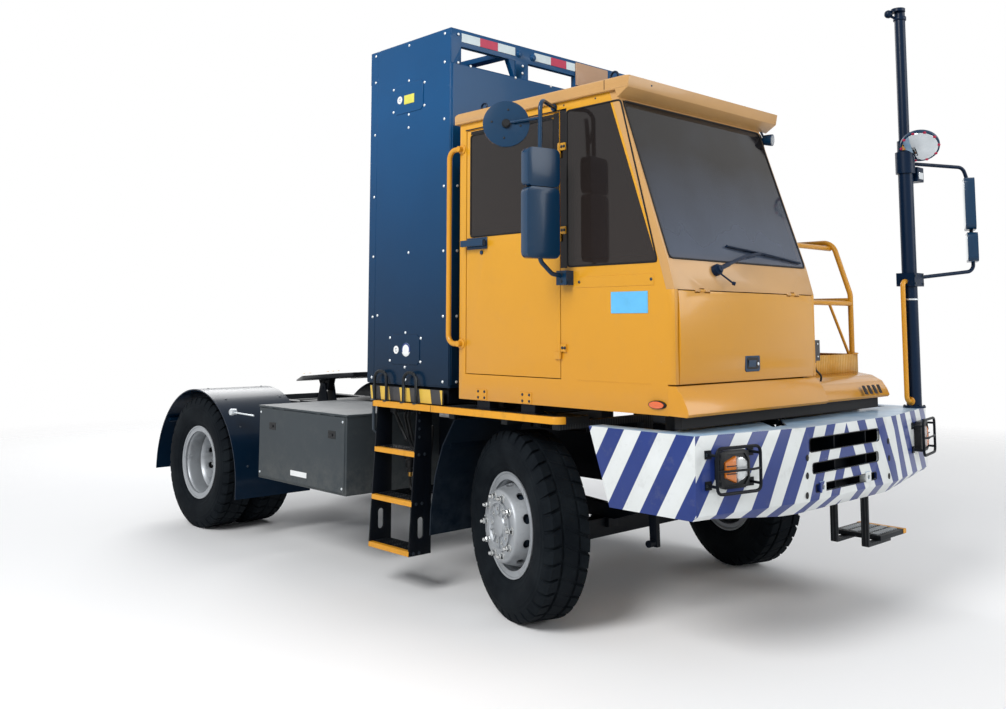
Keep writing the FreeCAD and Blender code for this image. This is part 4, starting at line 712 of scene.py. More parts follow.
def seal_round(shape, outline, x):
    """A rubber gasket round a pane; the outline is in y and z."""
    shape.tube(rounded([(x, y, z) for y, z in outline], 22), 5, 8, True)


def on_screen(x, up, off=0.0):
    """A point on the windshield, and how far it stands off the glass."""
    return Vector((x, SCREEN_Y, 2025)) + SCREEN_UP * up + SCREEN_OUT * off


def build_cab():
    seal = Shape()
    quarter_pane = [(-491, 2016), (-491, 2870), (-872, 2870), (-1098, 2016)]
    seal_round(seal, quarter_pane, SEAL_X)
    seal_round(seal, quarter_pane, LEFT_SEAL_X)
    seal_round(seal, [(298, 2227), (298, 2848), (-378, 2848), (-378, 2227)], LEFT_SEAL_X)
    foot, head = SCREEN_Y + 6 * 0.343, SCREEN_Y + (2870 - 2031) * SCREEN_RUN / SCREEN_RISE
    right, left = CAB_X + 20, 72
    corners = [(right, foot, 2033), (left, foot, 2033), (left, head, 2868), (right, head, 2868)]
    seal.tube(rounded(corners, 30), 5, 8, True)
    seal.done("window_seals", "gasket")
    seal = Shape()
    seal_round(seal, [(301, 2227), (301, 2844), (-388, 2844), (-388, 2227)], SEAL_X)
    seal.done("door_window_seal", "gasket", "driver_door")

    skin = (CAB_X - 2.5, CAB_X + 4)
    plates("pillar_band", "gloss_black", [
        (skin, (-489, -442), (2010, 2878)), ((CAB_X - 2.5, CAB_X + 2), (-489, 350), (2878.5, 2886))], edge=1.2)
    plates("door_band", "gloss_black", [(skin, (-434, -392), (2225, 2870)), (skin, (-392, 300), (2849, 2868))],
           "driver_door", edge=1.2)
    pull = Shape().block((CAB_X - 48, CAB_X - 22), (144, 343), (2166, 2204))
    for y in (157, 297):
        pull.block((CAB_X - 30, CAB_X - 1), (y, y + 26), (2170, 2200))
    pull.block((CAB_X - 6, CAB_X - 1), (150, 330), (2150, 2220))
    pull.lathe([(0, 13), (6, 13), (8, 9)], (CAB_X - 1, 200, 2130), -X, 20)
    pull.done("door_pull", "mirror_shell", "driver_door", edge=4)

    plates("side_cover_panel", "yellow", [
        (skin, (-1076, -560), (1900, 1957)), ((CAB_X - 1.5, CAB_X + 4), (-1050, -560), (1410, 1414))],
        edge=1.2, slot="ochre_paint")
    dots = Shape().domes([(CAB_X - 2.5, y, 1930) for y in (-1060, -578)], -X, 8, 5)
    dots.domes([(CAB_X - 0.5, y, 2905) for y in (-1078, -700, -470)], -X, 5, 3)
    dots.bolts([(CAB_X - 13, y, z) for z in (1580, 2215, 2675) for y in (-480, -462)], -X, 6, 5)
    dots.done("cab_bolts", "bolt_blue", slot="bare_steel")
    plates("blank_side_plate", "sky", [((CAB_X - 3, CAB_X + 3), (-1036, -797), (1762, 1872))], edge=1.2)

    at = (CAB_X + 1, -1089, 1314)
    mark = Shape().lathe([(0, 54), (10, 53), (14, 48)], at, -X, 36, oval=0.39)
    mark.use(1).lathe([(3, 47), (16, 44), (19, 30)], at, -X, 36, oval=0.39)
    mark.done("side_marker", ["plastic", "orange"])

    def by_latch(x, y, z):
        return x - 571.5, y - 1202, z + 1503.5

    latch = Shape()
    bezel = [(-70, -34), (-60, -44), (60, -44), (70, -34), (70, 34), (60, 44), (-60, 44), (-70, 34)]
    latch.prism([by_latch(x, -6, z) for x, z in bezel], Y * 8)
    latch.use(1).prism([by_latch(x * 0.78, -8, z * 0.7) for x, z in bezel], Y * 4)
    latch.use(2).lathe([(0, 9), (4, 9), (5, 6)], by_latch(44, -9, -4), -Y, 18)
    lever = [(-44, -14, 16), (26, -14, 16), (26, -9, -20), (-44, -9, -20)]
    latch.use(0).prism([by_latch(*p) for p in lever], Y * 6)
    latch.done("flap_latch", ["mirror_shell", "gloss_black", "zinc"], "service_flap", edge=2)

    wiper = Shape()
    pivot = (-850, -46)
    wiper.rod(on_screen(*pivot, -8), on_screen(*pivot, 30), 30)
    wiper.rod(on_screen(*pivot, 24), on_screen(*pivot, 40), 20)
    arm = [on_screen(*p) for p in ((*pivot, 30), (-760, -18, 34), (-560, 40, 26), (-397, 66, 22))]
    for a, b, w in zip(arm, arm[1:], (13, 10, 8)):
        wiper.tube([a, (a + b) / 2, b], w, 8)
    a, b = on_screen(-690, 98, 12), on_screen(20, 34, 12)
    lift = SCREEN_OUT * 8
    wiper.tube([a, (a + b) / 2 + lift, b], 6, 6)
    wiper.tube([a - lift, b - lift], 4, 6)
    for k in (0.25, 0.5, 0.75):
        wiper.rod(a.lerp(b, k) - lift, a.lerp(b, k) + SCREEN_OUT * 10, 5)
    wiper.tube([on_screen(-856, -60, 20), on_screen(-820, -100, 34), on_screen(-781, -128, 38)], 5, 8)
    wiper.rod(on_screen(-784, -124, 34), on_screen(-776, -134, 46), 10)
    wiper.done("wiper", "mast", sharp=40)

    roof = Shape()
    for x in (-1180, 40):
        for y in (238, -792):
            roof.lathe([(0, 26), (6, 26), (9, 22)], (x, y, 2990), Z, 20)
            roof.hoop((x, y, 3017), 24, 6.5, 20, 8, Y, Z)
    roof.done("roof_eyebolts", "mast")
    plates("roof_seam", "gasket", [((x, x + 4), (-781, -777), (2928, 2986)) for x in (-1251, 163)])
    lip = Shape()
    for x in (-1246, 161):
        lip.tube([(x, 428, 2931), (x, -936, 2931)], 6, 8)
    lip.tube([(-1246, 428, 2960), (-1248, -940, 2960)], 3, 6)
    lip.done("roof_drip_rail", "tan", slot="roof_tan")

    at, gaze = (116, -880, 2832), (0.25, -1, -0.1)
    work = Shape().lathe([(0, 30), (30, 34), (46, 36), (56, 36), (56, 30)], at, gaze, 24)
    work.tube([(116, -880, 2850), (112, -868, 2880), (108, -850, 2924)], 7, 8)
    work.use(1).lathe([(50, 30), (57, 28), (60, 18)], at, gaze, 24)
    work.done("work_lamp", ["mirror_shell", "clear"])

    pod = Shape().block((96, 150), (-1196, -1150), (1500, 1618))
    pod.lathe([(0, 12), (10, 12), (14, 8)], (124, -1172, 1500), -Z, 14)
    pod.use(1).domes([(123, -1197, z) for z in (1596, 1524)], -Y, 6, 4)
    pod.done("side_socket", ["board", "zinc"], edge=5)
    pipe("side_socket_cable", "hose", [(124, -1172, 1490), (124, -1174, 1450), (150, -1190, 1425),
                                       (172, -1190, 1405), (178, -1180, 1380)], 6)

    feet, posts = Shape(), Shape()
    for y in (198, -172):
        feet.use(0).block((CAB_X - 3, CAB_X + 3), (y - 46, y + 46), (1268, 1330))
        feet.use(1).bolts([(CAB_X - 3, y + dy, z) for dy in (-27, 27) for z in (1281, 1316)], -X, 6, 5)
        posts.block((CAB_X + 14, CAB_X + 90), (y - 55, y + 55), (1207, 1266))
        posts.block((CAB_X + 4, CAB_X + 100), (y - 70, y + 70), (1207, 1217))
    feet.done("cab_mounts", ["yellow", "bolt_blue"], edge=1.5)
    posts.done("cab_mount_posts", "black", edge=3)

    hood = Shape()
    for x in range(560, 800, 62):
        hood.prism([(x, -1262, 1290), (x + 34, -1262, 1290), (x + 34, -1240, 1338), (x, -1240, 1338)],
                   (0, 6, 4))
    hood.done("hood_vents", "gasket", edge=1.5)
    # a black block across the recess under the hood, between the bumper top and the hood
    plates("under_hood_black_block", "gasket", [((-1180, 860), (-1190, -1150), (1196, 1262))], edge=3)


build_cab()

# ---- tower
TOWER_X = 1202.5
BOLT_ROWS = (2998, 2570, 2162, 1756, 1353)


def span(side, inner, outer):
    """A range across the vehicle on one side of it."""
    return sorted((side * inner, side * outer))


def build_tower():
    panel, lids, bolts, marks = Shape(), Shape(), Shape(), Shape()
    for side in (-1, 1):
        panel.block(span(side, 1196, TOWER_X), (536, 1303), (1326, 3574))
        panel.block(span(side, 1196, TOWER_X - 1), (1309, 1384), (1326, 3574))
        for y0, y1, z0, z1 in ((802, 1110, 3098, 3296), (816, 1118, 1448, 1640)):
            cut = 24
            rim = [(y0, z0 + cut), (y0 + cut, z0), (y1 - cut, z0), (y1, z0 + cut), (y1, z1 - cut),
                   (y1 - cut, z1), (y0 + cut, z1), (y0, z1 - cut)]
            lids.prism([(side * (TOWER_X - 1), y, z) for y, z in rim], X * side * 6)
        bolts.domes([(side * x, y, z) for x, y in ((TOWER_X, 588), (TOWER_X - 1, 1330))
                     for z in (3550, 3365, *BOLT_ROWS)], X * side, 9, 6)
        bolts.domes([(side * TOWER_X, y, z) for y, z in (
            (957, 3550), (955, 2996), (942, 2170), (961, 1351), (1274, 1765), (1122, 3276), (956, 3311),
            (791, 3271), (791, 3119), (954, 3083), (1122, 3123), (965, 1653), (1129, 1619), (805, 1618),
            (1129, 1470), (808, 1469), (969, 1431))], X * side, 9, 6)
        discs = [(side * (TOWER_X + 5), y, z) for y, z in ((1046, 3193), (1055, 1541))]
        marks.use(0).lathes([(0, 12), (0, 26), (3, 26), (3, 12)], discs, X * side, 28, closed=True)
        marks.lathes([(0, 9), (2.5, 8)], discs, X * side, 20)
        marks.use(1).block(span(side, 1206, 1210), (893, 999), (3156, 3216))
    panel.block((-1186, 1186), (526.5, 534), (1336, 3350))
    panel.block((-1186, 1186), (1386, 1392.5), (1336, 3574))
    panel.done("tower_skins", "blue", edge=1.5, slot="tower_blue_paint")
    lids.done("tower_lids", "blue", edge=2.5, slot="tower_blue_paint")
    for y, out in ((526.5, -Y), (1392.5, Y)):
        bolts.domes([(x, y, z) for x in (-1144, 1144) for z in (3544, 3360, *BOLT_ROWS)], out, 9, 6)
    bolts.domes([(x, 527, z) for x, z in ((-1039, 3355), (-639, 3351), (-300, 3352), (300, 3352), (700, 3352))],
                -Y, 9, 6)
    bolts.domes([(-568, 531, 3445), (-571, 531, 3395)], -Y, 9, 6)
    bolts.domes([(x, 1392.5, z) for x in (-700, -230, 230, 700) for z in (3540, 2570, 1380)], Y, 9, 6)
    bolts.done("tower_bolts", "zinc", slot="bare_steel")
    marks.use(2).lathe([(0, 44), (3, 43)], (-1207, 952, 1543), -X, 32)
    marks.use(0).lathe([(0, 34), (4, 33)], (-1207, 952, 1543), -X, 32)
    marks.done("tower_blank_marks", ["white", "plate_yellow", "bumper"], edge=0.6)

    tape = Shape()
    for slot, x0, x1 in ((0, -1112, -956), (0, -798, -640), (0, -455, -296), (0, -138, -46), (1, -955, -799),
                         (1, -295, -139)):
        tape.use(slot).block((x0, x1), (528.6, 532), (3502, 3558))
    tape.done("beam_tape", ["tape", "red"])
    beam = Shape().block((-1116, -40), (534, 546), (3470, 3490))
    beam.prism([(-760, 545, 3474), (-680, 545, 3474), (-1010, 1350, 3372), (-1090, 1350, 3372)], Z * 34)
    beam.prism([(-640, 533, 3474), (-700, 533, 3474), (-640, 533, 3350)], Y * 40)
    beam.lathes([(0, 26), (5, 26), (8, 20), (14, 18), (16, 12)], ((-603, 531, 3522), (-470, 531, 3521)), -Y, 24)
    beam.done("tower_top_struts", "blue", edge=1.5, slot="tower_blue_paint")

    fans = Shape()
    places = [Vector((x, 965, 3356)) for x in (-600, 0, 600)]
    fans.lathes([(0, 200), (30, 200), (34, 190), (34, 170), (6, 166), (6, 200)], places, Z, 48, closed=True)
    fans.lathes([(6, 40), (34, 40), (38, 20)], places, Z, 24)
    for place in places:
        c = place + Z * 16
        for u in circle((0, 0, 0), 1, 7):
            v = Z.cross(u)
            fans.prism([c + u * 38 - v * 14, c + u * 164 - v * 40, c + u * 164 + v * 34 + Z * 12,
                        c + u * 38 + v * 14 + Z * 12], Z * 3)
        for r in (70, 110, 150):
            fans.hoop(place + Z * 36, r, 2.5, 32, 6)
    fans.done("tower_fans", "plastic")

    board = Shape().block((-1214, -1201), (576, 1328), (1214, 1302)).use(1)
    x, lean = -1215.5, 16
    for a, b in ((1328, 1309), (1219, 1120), (1008, 903), (804, 694), (600, 576)):
        board.prism([(x, a, 1301), (x, b, 1301), (x, max(576, b - lean), 1215), (x, max(580, a - lean), 1215)],
                    X * 2)
    board.done("hazard_board", ["board", "lemon"])


build_tower()

# ---- bumper and headlamps
BUMPER_Y = -1460


def slant_place(side):
    """First axis along the slanted face from its inner corner, second straight out of it."""
    return FIT @ Matrix(((side * 0.98216, side * 0.18807, 0, side * 495), (0.18807, -0.98216, 0, BUMPER_Y),
                         (0, 0, 1, 0), (0, 0, 0, 1)))


def build_bumper():
    outer = [(446, 975), (478, 930), (612, 930), (644, 975), (644, 1065), (612, 1110), (478, 1110), (446, 1065)]
    inner = [(462, 981), (487, 946), (603, 946), (628, 981), (628, 1059), (603, 1094), (487, 1094), (462, 1059)]
    for side, word in SIDES:
        lamp = Shape(slant_place(side))
        lamp.skin([[(s, d, z) for s, z in line]
                   for line, d in ((outer, 2), (outer, 40), (inner, 46), (inner, 34))])
        lamp.use(1).lathe([(0, 56), (3, 56), (8, 40), (10, 10)], (508, 34, 1020), Y, 28, oval=1.15)
        lamp.use(2).skin([[(470, 36, 982), (544, 36, 954), (544, 36, 1086), (470, 36, 1058)],
                          [(474, 48, 986), (542, 53, 960), (542, 53, 1080), (474, 48, 1054)],
                          [(486, 53, 996), (536, 57, 972), (536, 57, 1068), (486, 53, 1044)]])
        lamp.use(3).skin([[(549, 36, 954), (620, 36, 982), (620, 36, 1058), (549, 36, 1086)],
                          [(551, 53, 960), (616, 48, 986), (616, 48, 1054), (551, 53, 1080)],
                          [(557, 57, 972), (604, 53, 996), (604, 53, 1044), (557, 57, 1068)]])
        lamp.use(0)
        for z in (1002, 1038):
            lamp.rod((552, 57, z), (614, 54, z), 2.5)
        lamp.done("headlamp_" + word, ["plastic", "bulb", "clear", "amber"], edge=1.5, slot="lamp_black")

        guard = Shape(slant_place(side))
        s0, s1, z0, z1, d = 402, 690, 914, 1126, 66
        guard.tube(rounded([(s0, d, z0), (s1, d, z0), (s1, d, z1), (s0, d, z1)], 34), 8, 10, True)
        for s, bolt_s in ((s0 + 4, s0 - 8), (s1 - 4, s1 + 8)):
            for z in (z0 + 34, z1 - 34):
                guard.use(0).tube([(s, d, z), (s, 30, z), (s, 1, z)], 7, 8)
                guard.block((s - 20, s + 20), (0, 6), (z - 20, z + 20))
                guard.use(1).bolts([(bolt_s, 6, z)], Y, 6, 5)
        bar = [(s0, d, 1020), (s0 + 60, d + 14, 1020), (s1 - 60, d + 14, 1020), (s1, d, 1020)]
        guard.use(0).tube(arc_points(bar, 20), 6, 8)
        guard.done("lamp_guard_" + word, ["black", "bolt_blue"], slot="lamp_black")

    plugs = [(-486, 1029), (-490, 940), (-496, 842), (410, 1044), (415, 948), (407, 848)]
    dots = Shape().lathes([(0, 13), (2, 13), (3, 9)], [(x, BUMPER_Y, z) for x, z in plugs], -Y, 20, oval=1.3)
    dots.done("bumper_plugs", "gasket")
    edge = Shape()
    for z, high, x0, x1 in ((1089, 70, -462, 300), (970, 54, -436, 283), (867, 40, -408, 253)):
        corners = [(x, BUMPER_Y - 0.5, z + dz * high / 2) for x, dz in ((x0, -1), (x1, -1), (x1, 1), (x0, 1))]
        edge.tube(rounded(corners, high * 0.28, THIRDS), 2.5, 6, True)
    edge.done("slot_edges", "gasket")
    plates("tow_hook_frame", "black", [
        ((-252, -240), (-1156, -1140), (1110, 1200)), ((-192, -180), (-1156, -1140), (1110, 1200)),
        ((-240, -192), (-1154, -1142), (1150, 1164)), ((-262, -170), (-1160, -1136), (1108, 1116))], edge=2)
    ribs = [((x - 4, x + 4), (-1440, -1290), (800, 1140)) for x in (-520, -170, 180, 520)]
    plates("bumper_stiffeners", "black", [((-700, 700), (-1290, -1284), (790, 1150)), *ribs], edge=1.5)


build_bumper()


# ---- walkway, ladder and deck
def ladder_x(z):
    """The front of the leaning ladder at a height."""
    return -1250 + (z - 605) * 0.063


def build_steps():
    line = [(-1250, 640), (-1250, -376)]
    line += [(-1190 - 60 * cos(t), -376 - 60 * sin(t)) for t in map(radians, range(15, 91, 15))]
    rings = []
    for (x, y), before, after in zip(line, line[:1] + line, line[1:] + line[-1:]):
        run = (Vector(after) - Vector(before)).normalized()
        rings.append([(x - abs(run.y) * o, y - abs(run.x) * o, z) for o, z in (
            (2, 1170), (2, 1206), (0, 1209), (-26, 1209), (-26, 1206), (0, 1206), (0, 1170))])
    band = Shape().skin(rings).block((-1252, -1224), (645, 1247), (1171, 1209))
    band.block((-1252, -1100), (1240, 1249), (1171, 1209))
    band.done("walkway_edge", "nosing", edge=1, slot="rail_yellow")
    treads = [(ladder_x(z), z) for z in (304, 603, 906)]
    plates("tread_nosings", "nosing", [((x - 3, x + 30), (823, 1244), (z - 30, z + 1.5)) for x, z in treads],
           edge=2, slot="rail_yellow")
    plates("tread_bars", "tread", [((x + 40, x + 140), (y, y + 8), (z, z + 5)) for x, z in treads
                                   for y in range(846, 1225, 27)])
    bolts = Shape()
    for y, out in ((820, -Y), (1247, Y)):
        bolts.bolts([(ladder_x(z) + dx, y, z) for z in (890, 588, 290) for dx in (34, 80)], out, 8, 7)
        bolts.bolts([(-1196, y, z) for z in (1000, 1050, 1100, 1150)], out, 7, 6)
    bolts.lathes([(0, 24), (6, 24), (9, 17)], [(-1236, y, 1207) for y in (808, 938, 1119, 1249)], Z, 18)
    bolts.tube([(-1238, 1249, 1200), (-1240, 1250, 1100), (-1238, 1250, 1020), (-1205, 1249, 985)], 11, 10)
    bolts.done("ladder_bolts", "bolt_blue", slot="bare_steel")
    plates("front_step_nosing", "nosing", [((1042, 1081), (-1238, -927), (404, 433))], edge=2,
           slot="rail_yellow")
    grate = Shape()
    for k in range(4):
        y = -1205 + k * 66
        for x in range(762 + k % 2 * 8, 1021, 25):
            grate.prism([(x, y, 430), (x + 9, y, 430), (x + 15, y + 46, 430), (x + 6, y + 46, 430)], Z * 5)
    grate.use(1).bolts([(x, -1240, z) for x in (640, 700) for z in (1060, 1110)], -Y, 8, 6)
    grate.done("front_step_grip", ["zinc", "bolt_blue"])

    hang = Shape()
    for y in (1186, 1150):
        hang.tube([(-1010, y, 1165), (-1030, y, 1090), (-1015, y - 30, 950), (-990, y - 45, 880)], 10, 8)
    hang.rod((-1000, 1359, 1143), (-1000, 1199, 934), 12)
    hang.lathe([(0, 34), (60, 34), (66, 24), (90, 24)], (-1000, 1160, 820), -Z, 20)
    hang.lathe([(0, 44), (34, 44), (40, 36)], (-1000, 1160, 850), -Z, 20)
    hang.use(1).rod((-1000, 1160, 735), (-1000, 1160, 700), 15)
    hang.done("air_valve", ["plastic", "brass"])
    pipe("valve_hose_low", "hose",
         [(-1000, 1160, 702), (-1000, 1165, 640), (-1000, 1120, 600), (-980, 1040, 640), (-960, 1000, 800),
          (-950, 990, 1000), (-950, 990, 1040)], 9)
    pipe("valve_hose_high", "hose",
         [(-990, 1105, 880), (-980, 1060, 800), (-970, 1030, 860), (-955, 1010, 1045)], 8)

    rail = Shape().lathes([(0, 34), (7, 34), (10, 22)], [(925, y, 1520) for y in (-1000, -300, 480)], Z, 20)
    rail.block((888, 952), (-1010, 505), (1518, 1522))
    rail.done("rail_feet", "rail", slot="rail_yellow")
    grab = Shape().lathes([(0, 30), (7, 30), (10, 24)], [(-1229, 380, z) for z in (2770, 1590)], -X, 20)
    grab.lathes([(0, 27), (6, 27), (9, 20)], [(1109, -1286, z) for z in (1985, 1225)], -X, 20)
    grab.done("grab_rail_flanges", "rail", slot="rail_yellow")


build_steps()

# ---- lockers, fenders and tail
FENDER_MIDDLE = (3716, 440)
FENDER_R = 724
FENDER_FOOT = 347


def build_rear():
    for side, word in SIDES:
        out = X * side
        plates("locker_panel_" + word, "locker", [(span(side, 1242, 1250), (1570, 2715), (562, 1070))], edge=3,
               slot="locker_grey")
        bits = Shape().domes([(side * 1250, y, z) for y in (1592, 2693) for z in (592, 1040)], out, 9, 6).use(1)
        for y in (1724, 2522):
            bits.block(span(side, 1248, 1252), (y - 46, y + 46), (918, 972))
            bits.block(span(side, 1248, 1258), (y - 12, y + 30), (936, 952))
        bits.use(2).block(span(side, 1248, 1251), (2039, 2256), (612, 650)).use(3)
        for y in (1720, 1900, 2390, 2560):
            bits.block(span(side, 1228, 1251), (y - 30, y + 30), (1071, 1078))
        bits.done("locker_fittings_" + word, ["zinc", "plastic", "white", "locker"], edge=1.5)

        y, z = FENDER_MIDDLE
        rings = []
        for t, z_mid in [(radians(a), z) for a in range(0, 181, 5)] + [(pi, FENDER_FOOT)]:
            rings.append([(side * x, y + r * cos(t), z_mid + r * sin(t))
                          for x, r in ((1283, FENDER_R - 8), (1289.8, FENDER_R - 8),
                                       (1289.8, FENDER_R - 0.5), (1283, FENDER_R - 0.5))])
        trim = Shape().skin(rings).use(1)
        for t in map(radians, range(12, 169, 26)):
            u = Y * cos(t) + Z * sin(t)
            trim.domes([Vector((side * x, y, z)) + u * FENDER_R for x in (680, 1180)], u, 9, 5)
        trim.done("fender_trim_" + word, ["fender", "bolt_blue"])
        x = side * 1282
        rod = Shape().rod((x, 3070, 1012), (x, 2748, 1008), 6)
        rod.lathe([(-26, 24), (14, 26), (22, 22), (26, 12)], (x, 3084, 1014), out, 24)
        rod.use(1).lathe([(14, 18), (26, 16), (30, 8)], (x - side * 3, 3084, 1014), out, 24)
        rod.done("fender_marker_" + word, ["zinc", "clear"])

        x = side * 640
        tail = Shape().block((x - 130, x + 130), (4392, 4410), (560, 700))
        for slot, dx in ((1, -80), (2, 0), (3, 80)):
            tail.use(slot).lathe([(0, 34), (6, 34), (11, 28), (13, 14)], (x + dx, 4410, 630), Y, 28)
        tail.done("tail_lamps_" + word, ["plastic", "tail_red", "amber", "clear"], edge=1)

    nipples = [(x, y, 1296 - (y - 3200) * 0.08) for y in (2960, 3040, 3120, 3400, 3500) for x in (-380, 380)]
    Shape().domes(nipples, Z, 10, 4).done("plate_grease_nipples", "brass", "coupling")
    jaw = Shape().lathe([(0, 60), (0, 96), (3, 96), (3, 60)], (0, 3206, 1279), (0, 0.08, 1), 36, True)
    jaw.done("jaw_wear_ring", "rust", "coupling")
    ports = (-150, -50, 60, 160)
    back = Shape().block((-230, 230), (1391, 1399), (1560, 1860)).use(1)
    back.lathes([(0, 34), (6, 34), (10, 26), (34, 25), (36, 20)], [(x, 1399, 1700) for x in ports], Y, 22)
    back.done("hose_connector_plate", ["blue", "plastic"], edge=2)
    for k, (x, hose) in enumerate(zip(ports, ("red_hose", "hose", "yellow_hose", "hose"))):
        sag = [(x, 1432, 1700), (x, 1560, 1690), (x + 20, 1760, 1500 - 20 * k), (x * 0.6, 2060, 1300 - 25 * k),
               (x * 0.5, 2360, 1190 - 12 * k), (x * 0.6, 2640, 1120), (x * 0.8, 2790, 1092),
               (x * 0.8, 2800, 1050)]
        pipe("trailer_hose_%d" % (k + 1), hose, sag, 12)
    stand = Shape().block((-170, 180), (2740, 2860), (1031, 1052))
    stand.lathes([(0, 22), (24, 22), (28, 17)], [(x, 2800, 1050) for x in (-120, -40, 48, 128)], Z, 18)
    stand.done("hose_rest", "black", edge=3)
    louvre = Shape()
    for z in range(2300, 2800, 62):
        louvre.prism([(-480, 1391, z), (-480, 1412, z + 6), (-480, 1391, z + 40)], X * 960)
    for z in (2260, 2866):
        louvre.block((-520, 520), (1391, 1405), (z, z + 18))
    louvre.done("tower_rear_louvres", "blue", edge=1.5, slot="tower_blue_paint")


build_rear()

# ---- mirrors and mast
ROUND_RIGHT = (Vector((-1560, -357, 2772)), Vector((0.69, 0.72, -0.05)))
ROUND_LEFT = (Vector((1145, -1391, 2868)), Vector((-0.62, -0.30, -0.72)))
MAST_X, MAST_Y = 1155, -1286


def pane(shape, at, w, h, yaw):
    """A slightly domed mirror pane with rounded corners."""
    place = Matrix.Translation(at) @ Matrix.Rotation(radians(yaw), 4, "Z")
    r = 30
    outline = []
    for quarter, (i, j) in enumerate(((1, 1), (-1, 1), (-1, -1), (1, -1))):
        for t in (radians(90 * quarter + 22.5 * step) for step in range(5)):
            outline.append((i * (w / 2 - r) + r * cos(t), j * (h / 2 - r) + r * sin(t)))
    shape.skin([[place @ Vector((a * k, d, b * k)) for a, b in outline]
                for k, d in ((1.0, 28), (1.0, 33), (0.96, 34.5), (0.3, 36))])


def build_mirrors():
    glass = Shape()
    pane(glass, (-1446, -501, 2236), 180, 350, -12)
    pane(glass, (-1444, -501, 2530), 180, 180, -12)
    pane(glass, (1542, -1531, 2500), 180, 315, 25)
    pane(glass, (1548, -1535, 2215), 180, 165, 25)
    rim = Shape()
    for (at, axis), r, rim_r in ((ROUND_RIGHT, 114, 122), (ROUND_LEFT, 110, 116)):
        glass.lathe([(20, r), (23, r - 2), (27, 70), (28, 10)], at, axis, 40)
        rim.use(0).lathe([(6, rim_r), (8, rim_r + 3.2), (20, rim_r + 3.2), (23, rim_r - 2), (20, rim_r - 6),
                          (8, rim_r - 4)], at, axis, 40, True)
        rim.use(2).lathe([(0, 24), (10, 24), (18, 16)], at, -axis, 20)
        rim.domes(circle(at, 78, 4, *across(-axis), pi / 4), -axis, 6, 3)
    glass.done("mirror_panes", "mirror_glass")
    at, axis = ROUND_LEFT
    rim.use(1).domes(circle(at + axis.normalized() * 22, 112, 10, *across(axis)), axis, 10, 3)
    rim.done("disc_mirror_rims", ["mirror_shell", "red", "plastic"])

    clips = Shape()
    clips.lathes([(-9, 19), (-9, 16), (9, 16), (9, 19)],
                 [(-1448, -497, z) for z in (2180, 2290, 2500, 2560)], Z, 18)
    clips.lathes([(-9, 19), (9, 19)], [(1544, -1534, z) for z in (2160, 2250, 2440, 2560)], Z, 18)
    clips.use(1).bolts([(-1288, -500, z) for z in (1935, 1972)], -X, 7, 6)
    clips.bolts([(x, -1346, z) for x in (1108, 1215) for z in (1972, 2022)], -Y, 7, 6)
    clips.bolts(circle((MAST_X, MAST_Y, 1194), 58, 6), Z, 6, 6)
    clips.use(2).lathe([(0, 49), (0, 47), (10, 47), (10, 49)], (MAST_X, MAST_Y, 1866), Z, 28, True)
    clips.use(0).block((1193, 1280), (-1350, -1276), (2642, 2733))
    clips.use(3).block((1205, 1268), (-1353, -1349), (2656, 2700))
    clips.done("mast_fittings", ["mast", "bolt_blue", "zinc", "mirror_glass"], edge=1.5)
    ball = [(27 - 27 * cos(t), 27 * sin(t)) for t in map(radians, range(0, 181, 15))]
    knob = Shape().lathe(ball, (1102, -1236, 3734), Z, 24)
    knob.rod((1104, -1238, 3752), (1142, -1274, 3728), 9)
    knob.lathe([(0, 40), (2, 41), (22, 41), (24, 40)], (MAST_X, MAST_Y, 3716), Z, 32)
    knob.done("mast_top_knob", "mast")


build_mirrors()

# ---- cab inside
SEAT_X = -570


def pillow(name, centre, size, turn, crown, channels):
    """A stuffed pad: a fine rounded block whose top swells between sewn channels."""
    bm = bmesh.new()
    bmesh.ops.create_cube(bm, size=1.0)
    bmesh.ops.subdivide_edges(bm, edges=bm.edges[:], cuts=22, use_grid_fill=True)
    rnd = random.Random(7)
    shift_x, shift_y = rnd.uniform(-1, 1), rnd.uniform(-1, 1)
    for v in bm.verts:
        p = v.co * 2
        q = [abs(c) for c in p]
        swell = (1 - min(1, q[0]) ** 4) * (1 - min(1, q[1]) ** 4)
        seam = abs(sin(p.y * pi * channels / 2)) ** 0.45
        crease = 2.2 * sin(6 * p.x + shift_x * 3) * sin(5 * p.y + shift_y * 3) * swell
        v.co = p.lerp(p.normalized() * max(q), 0.22) * Vector(size) / 2
        if p.z > 0.5:
            v.co.z += crown * swell * (0.45 + 0.55 * seam) + crease - crown * 0.6
    place = FIT @ Matrix.Translation(centre) @ Matrix.Rotation(radians(turn), 4, "X")
    bmesh.ops.transform(bm, matrix=place, verts=bm.verts)
    bmesh.ops.recalc_face_normals(bm, faces=bm.faces)
    mesh = bpy.data.meshes.new(name)
    bm.to_mesh(mesh)
    bm.free()
    mesh.shade_smooth()
    mesh.materials.append(M["cloth"])
    o = placed(name, mesh)
    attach(o, "root")
    return o


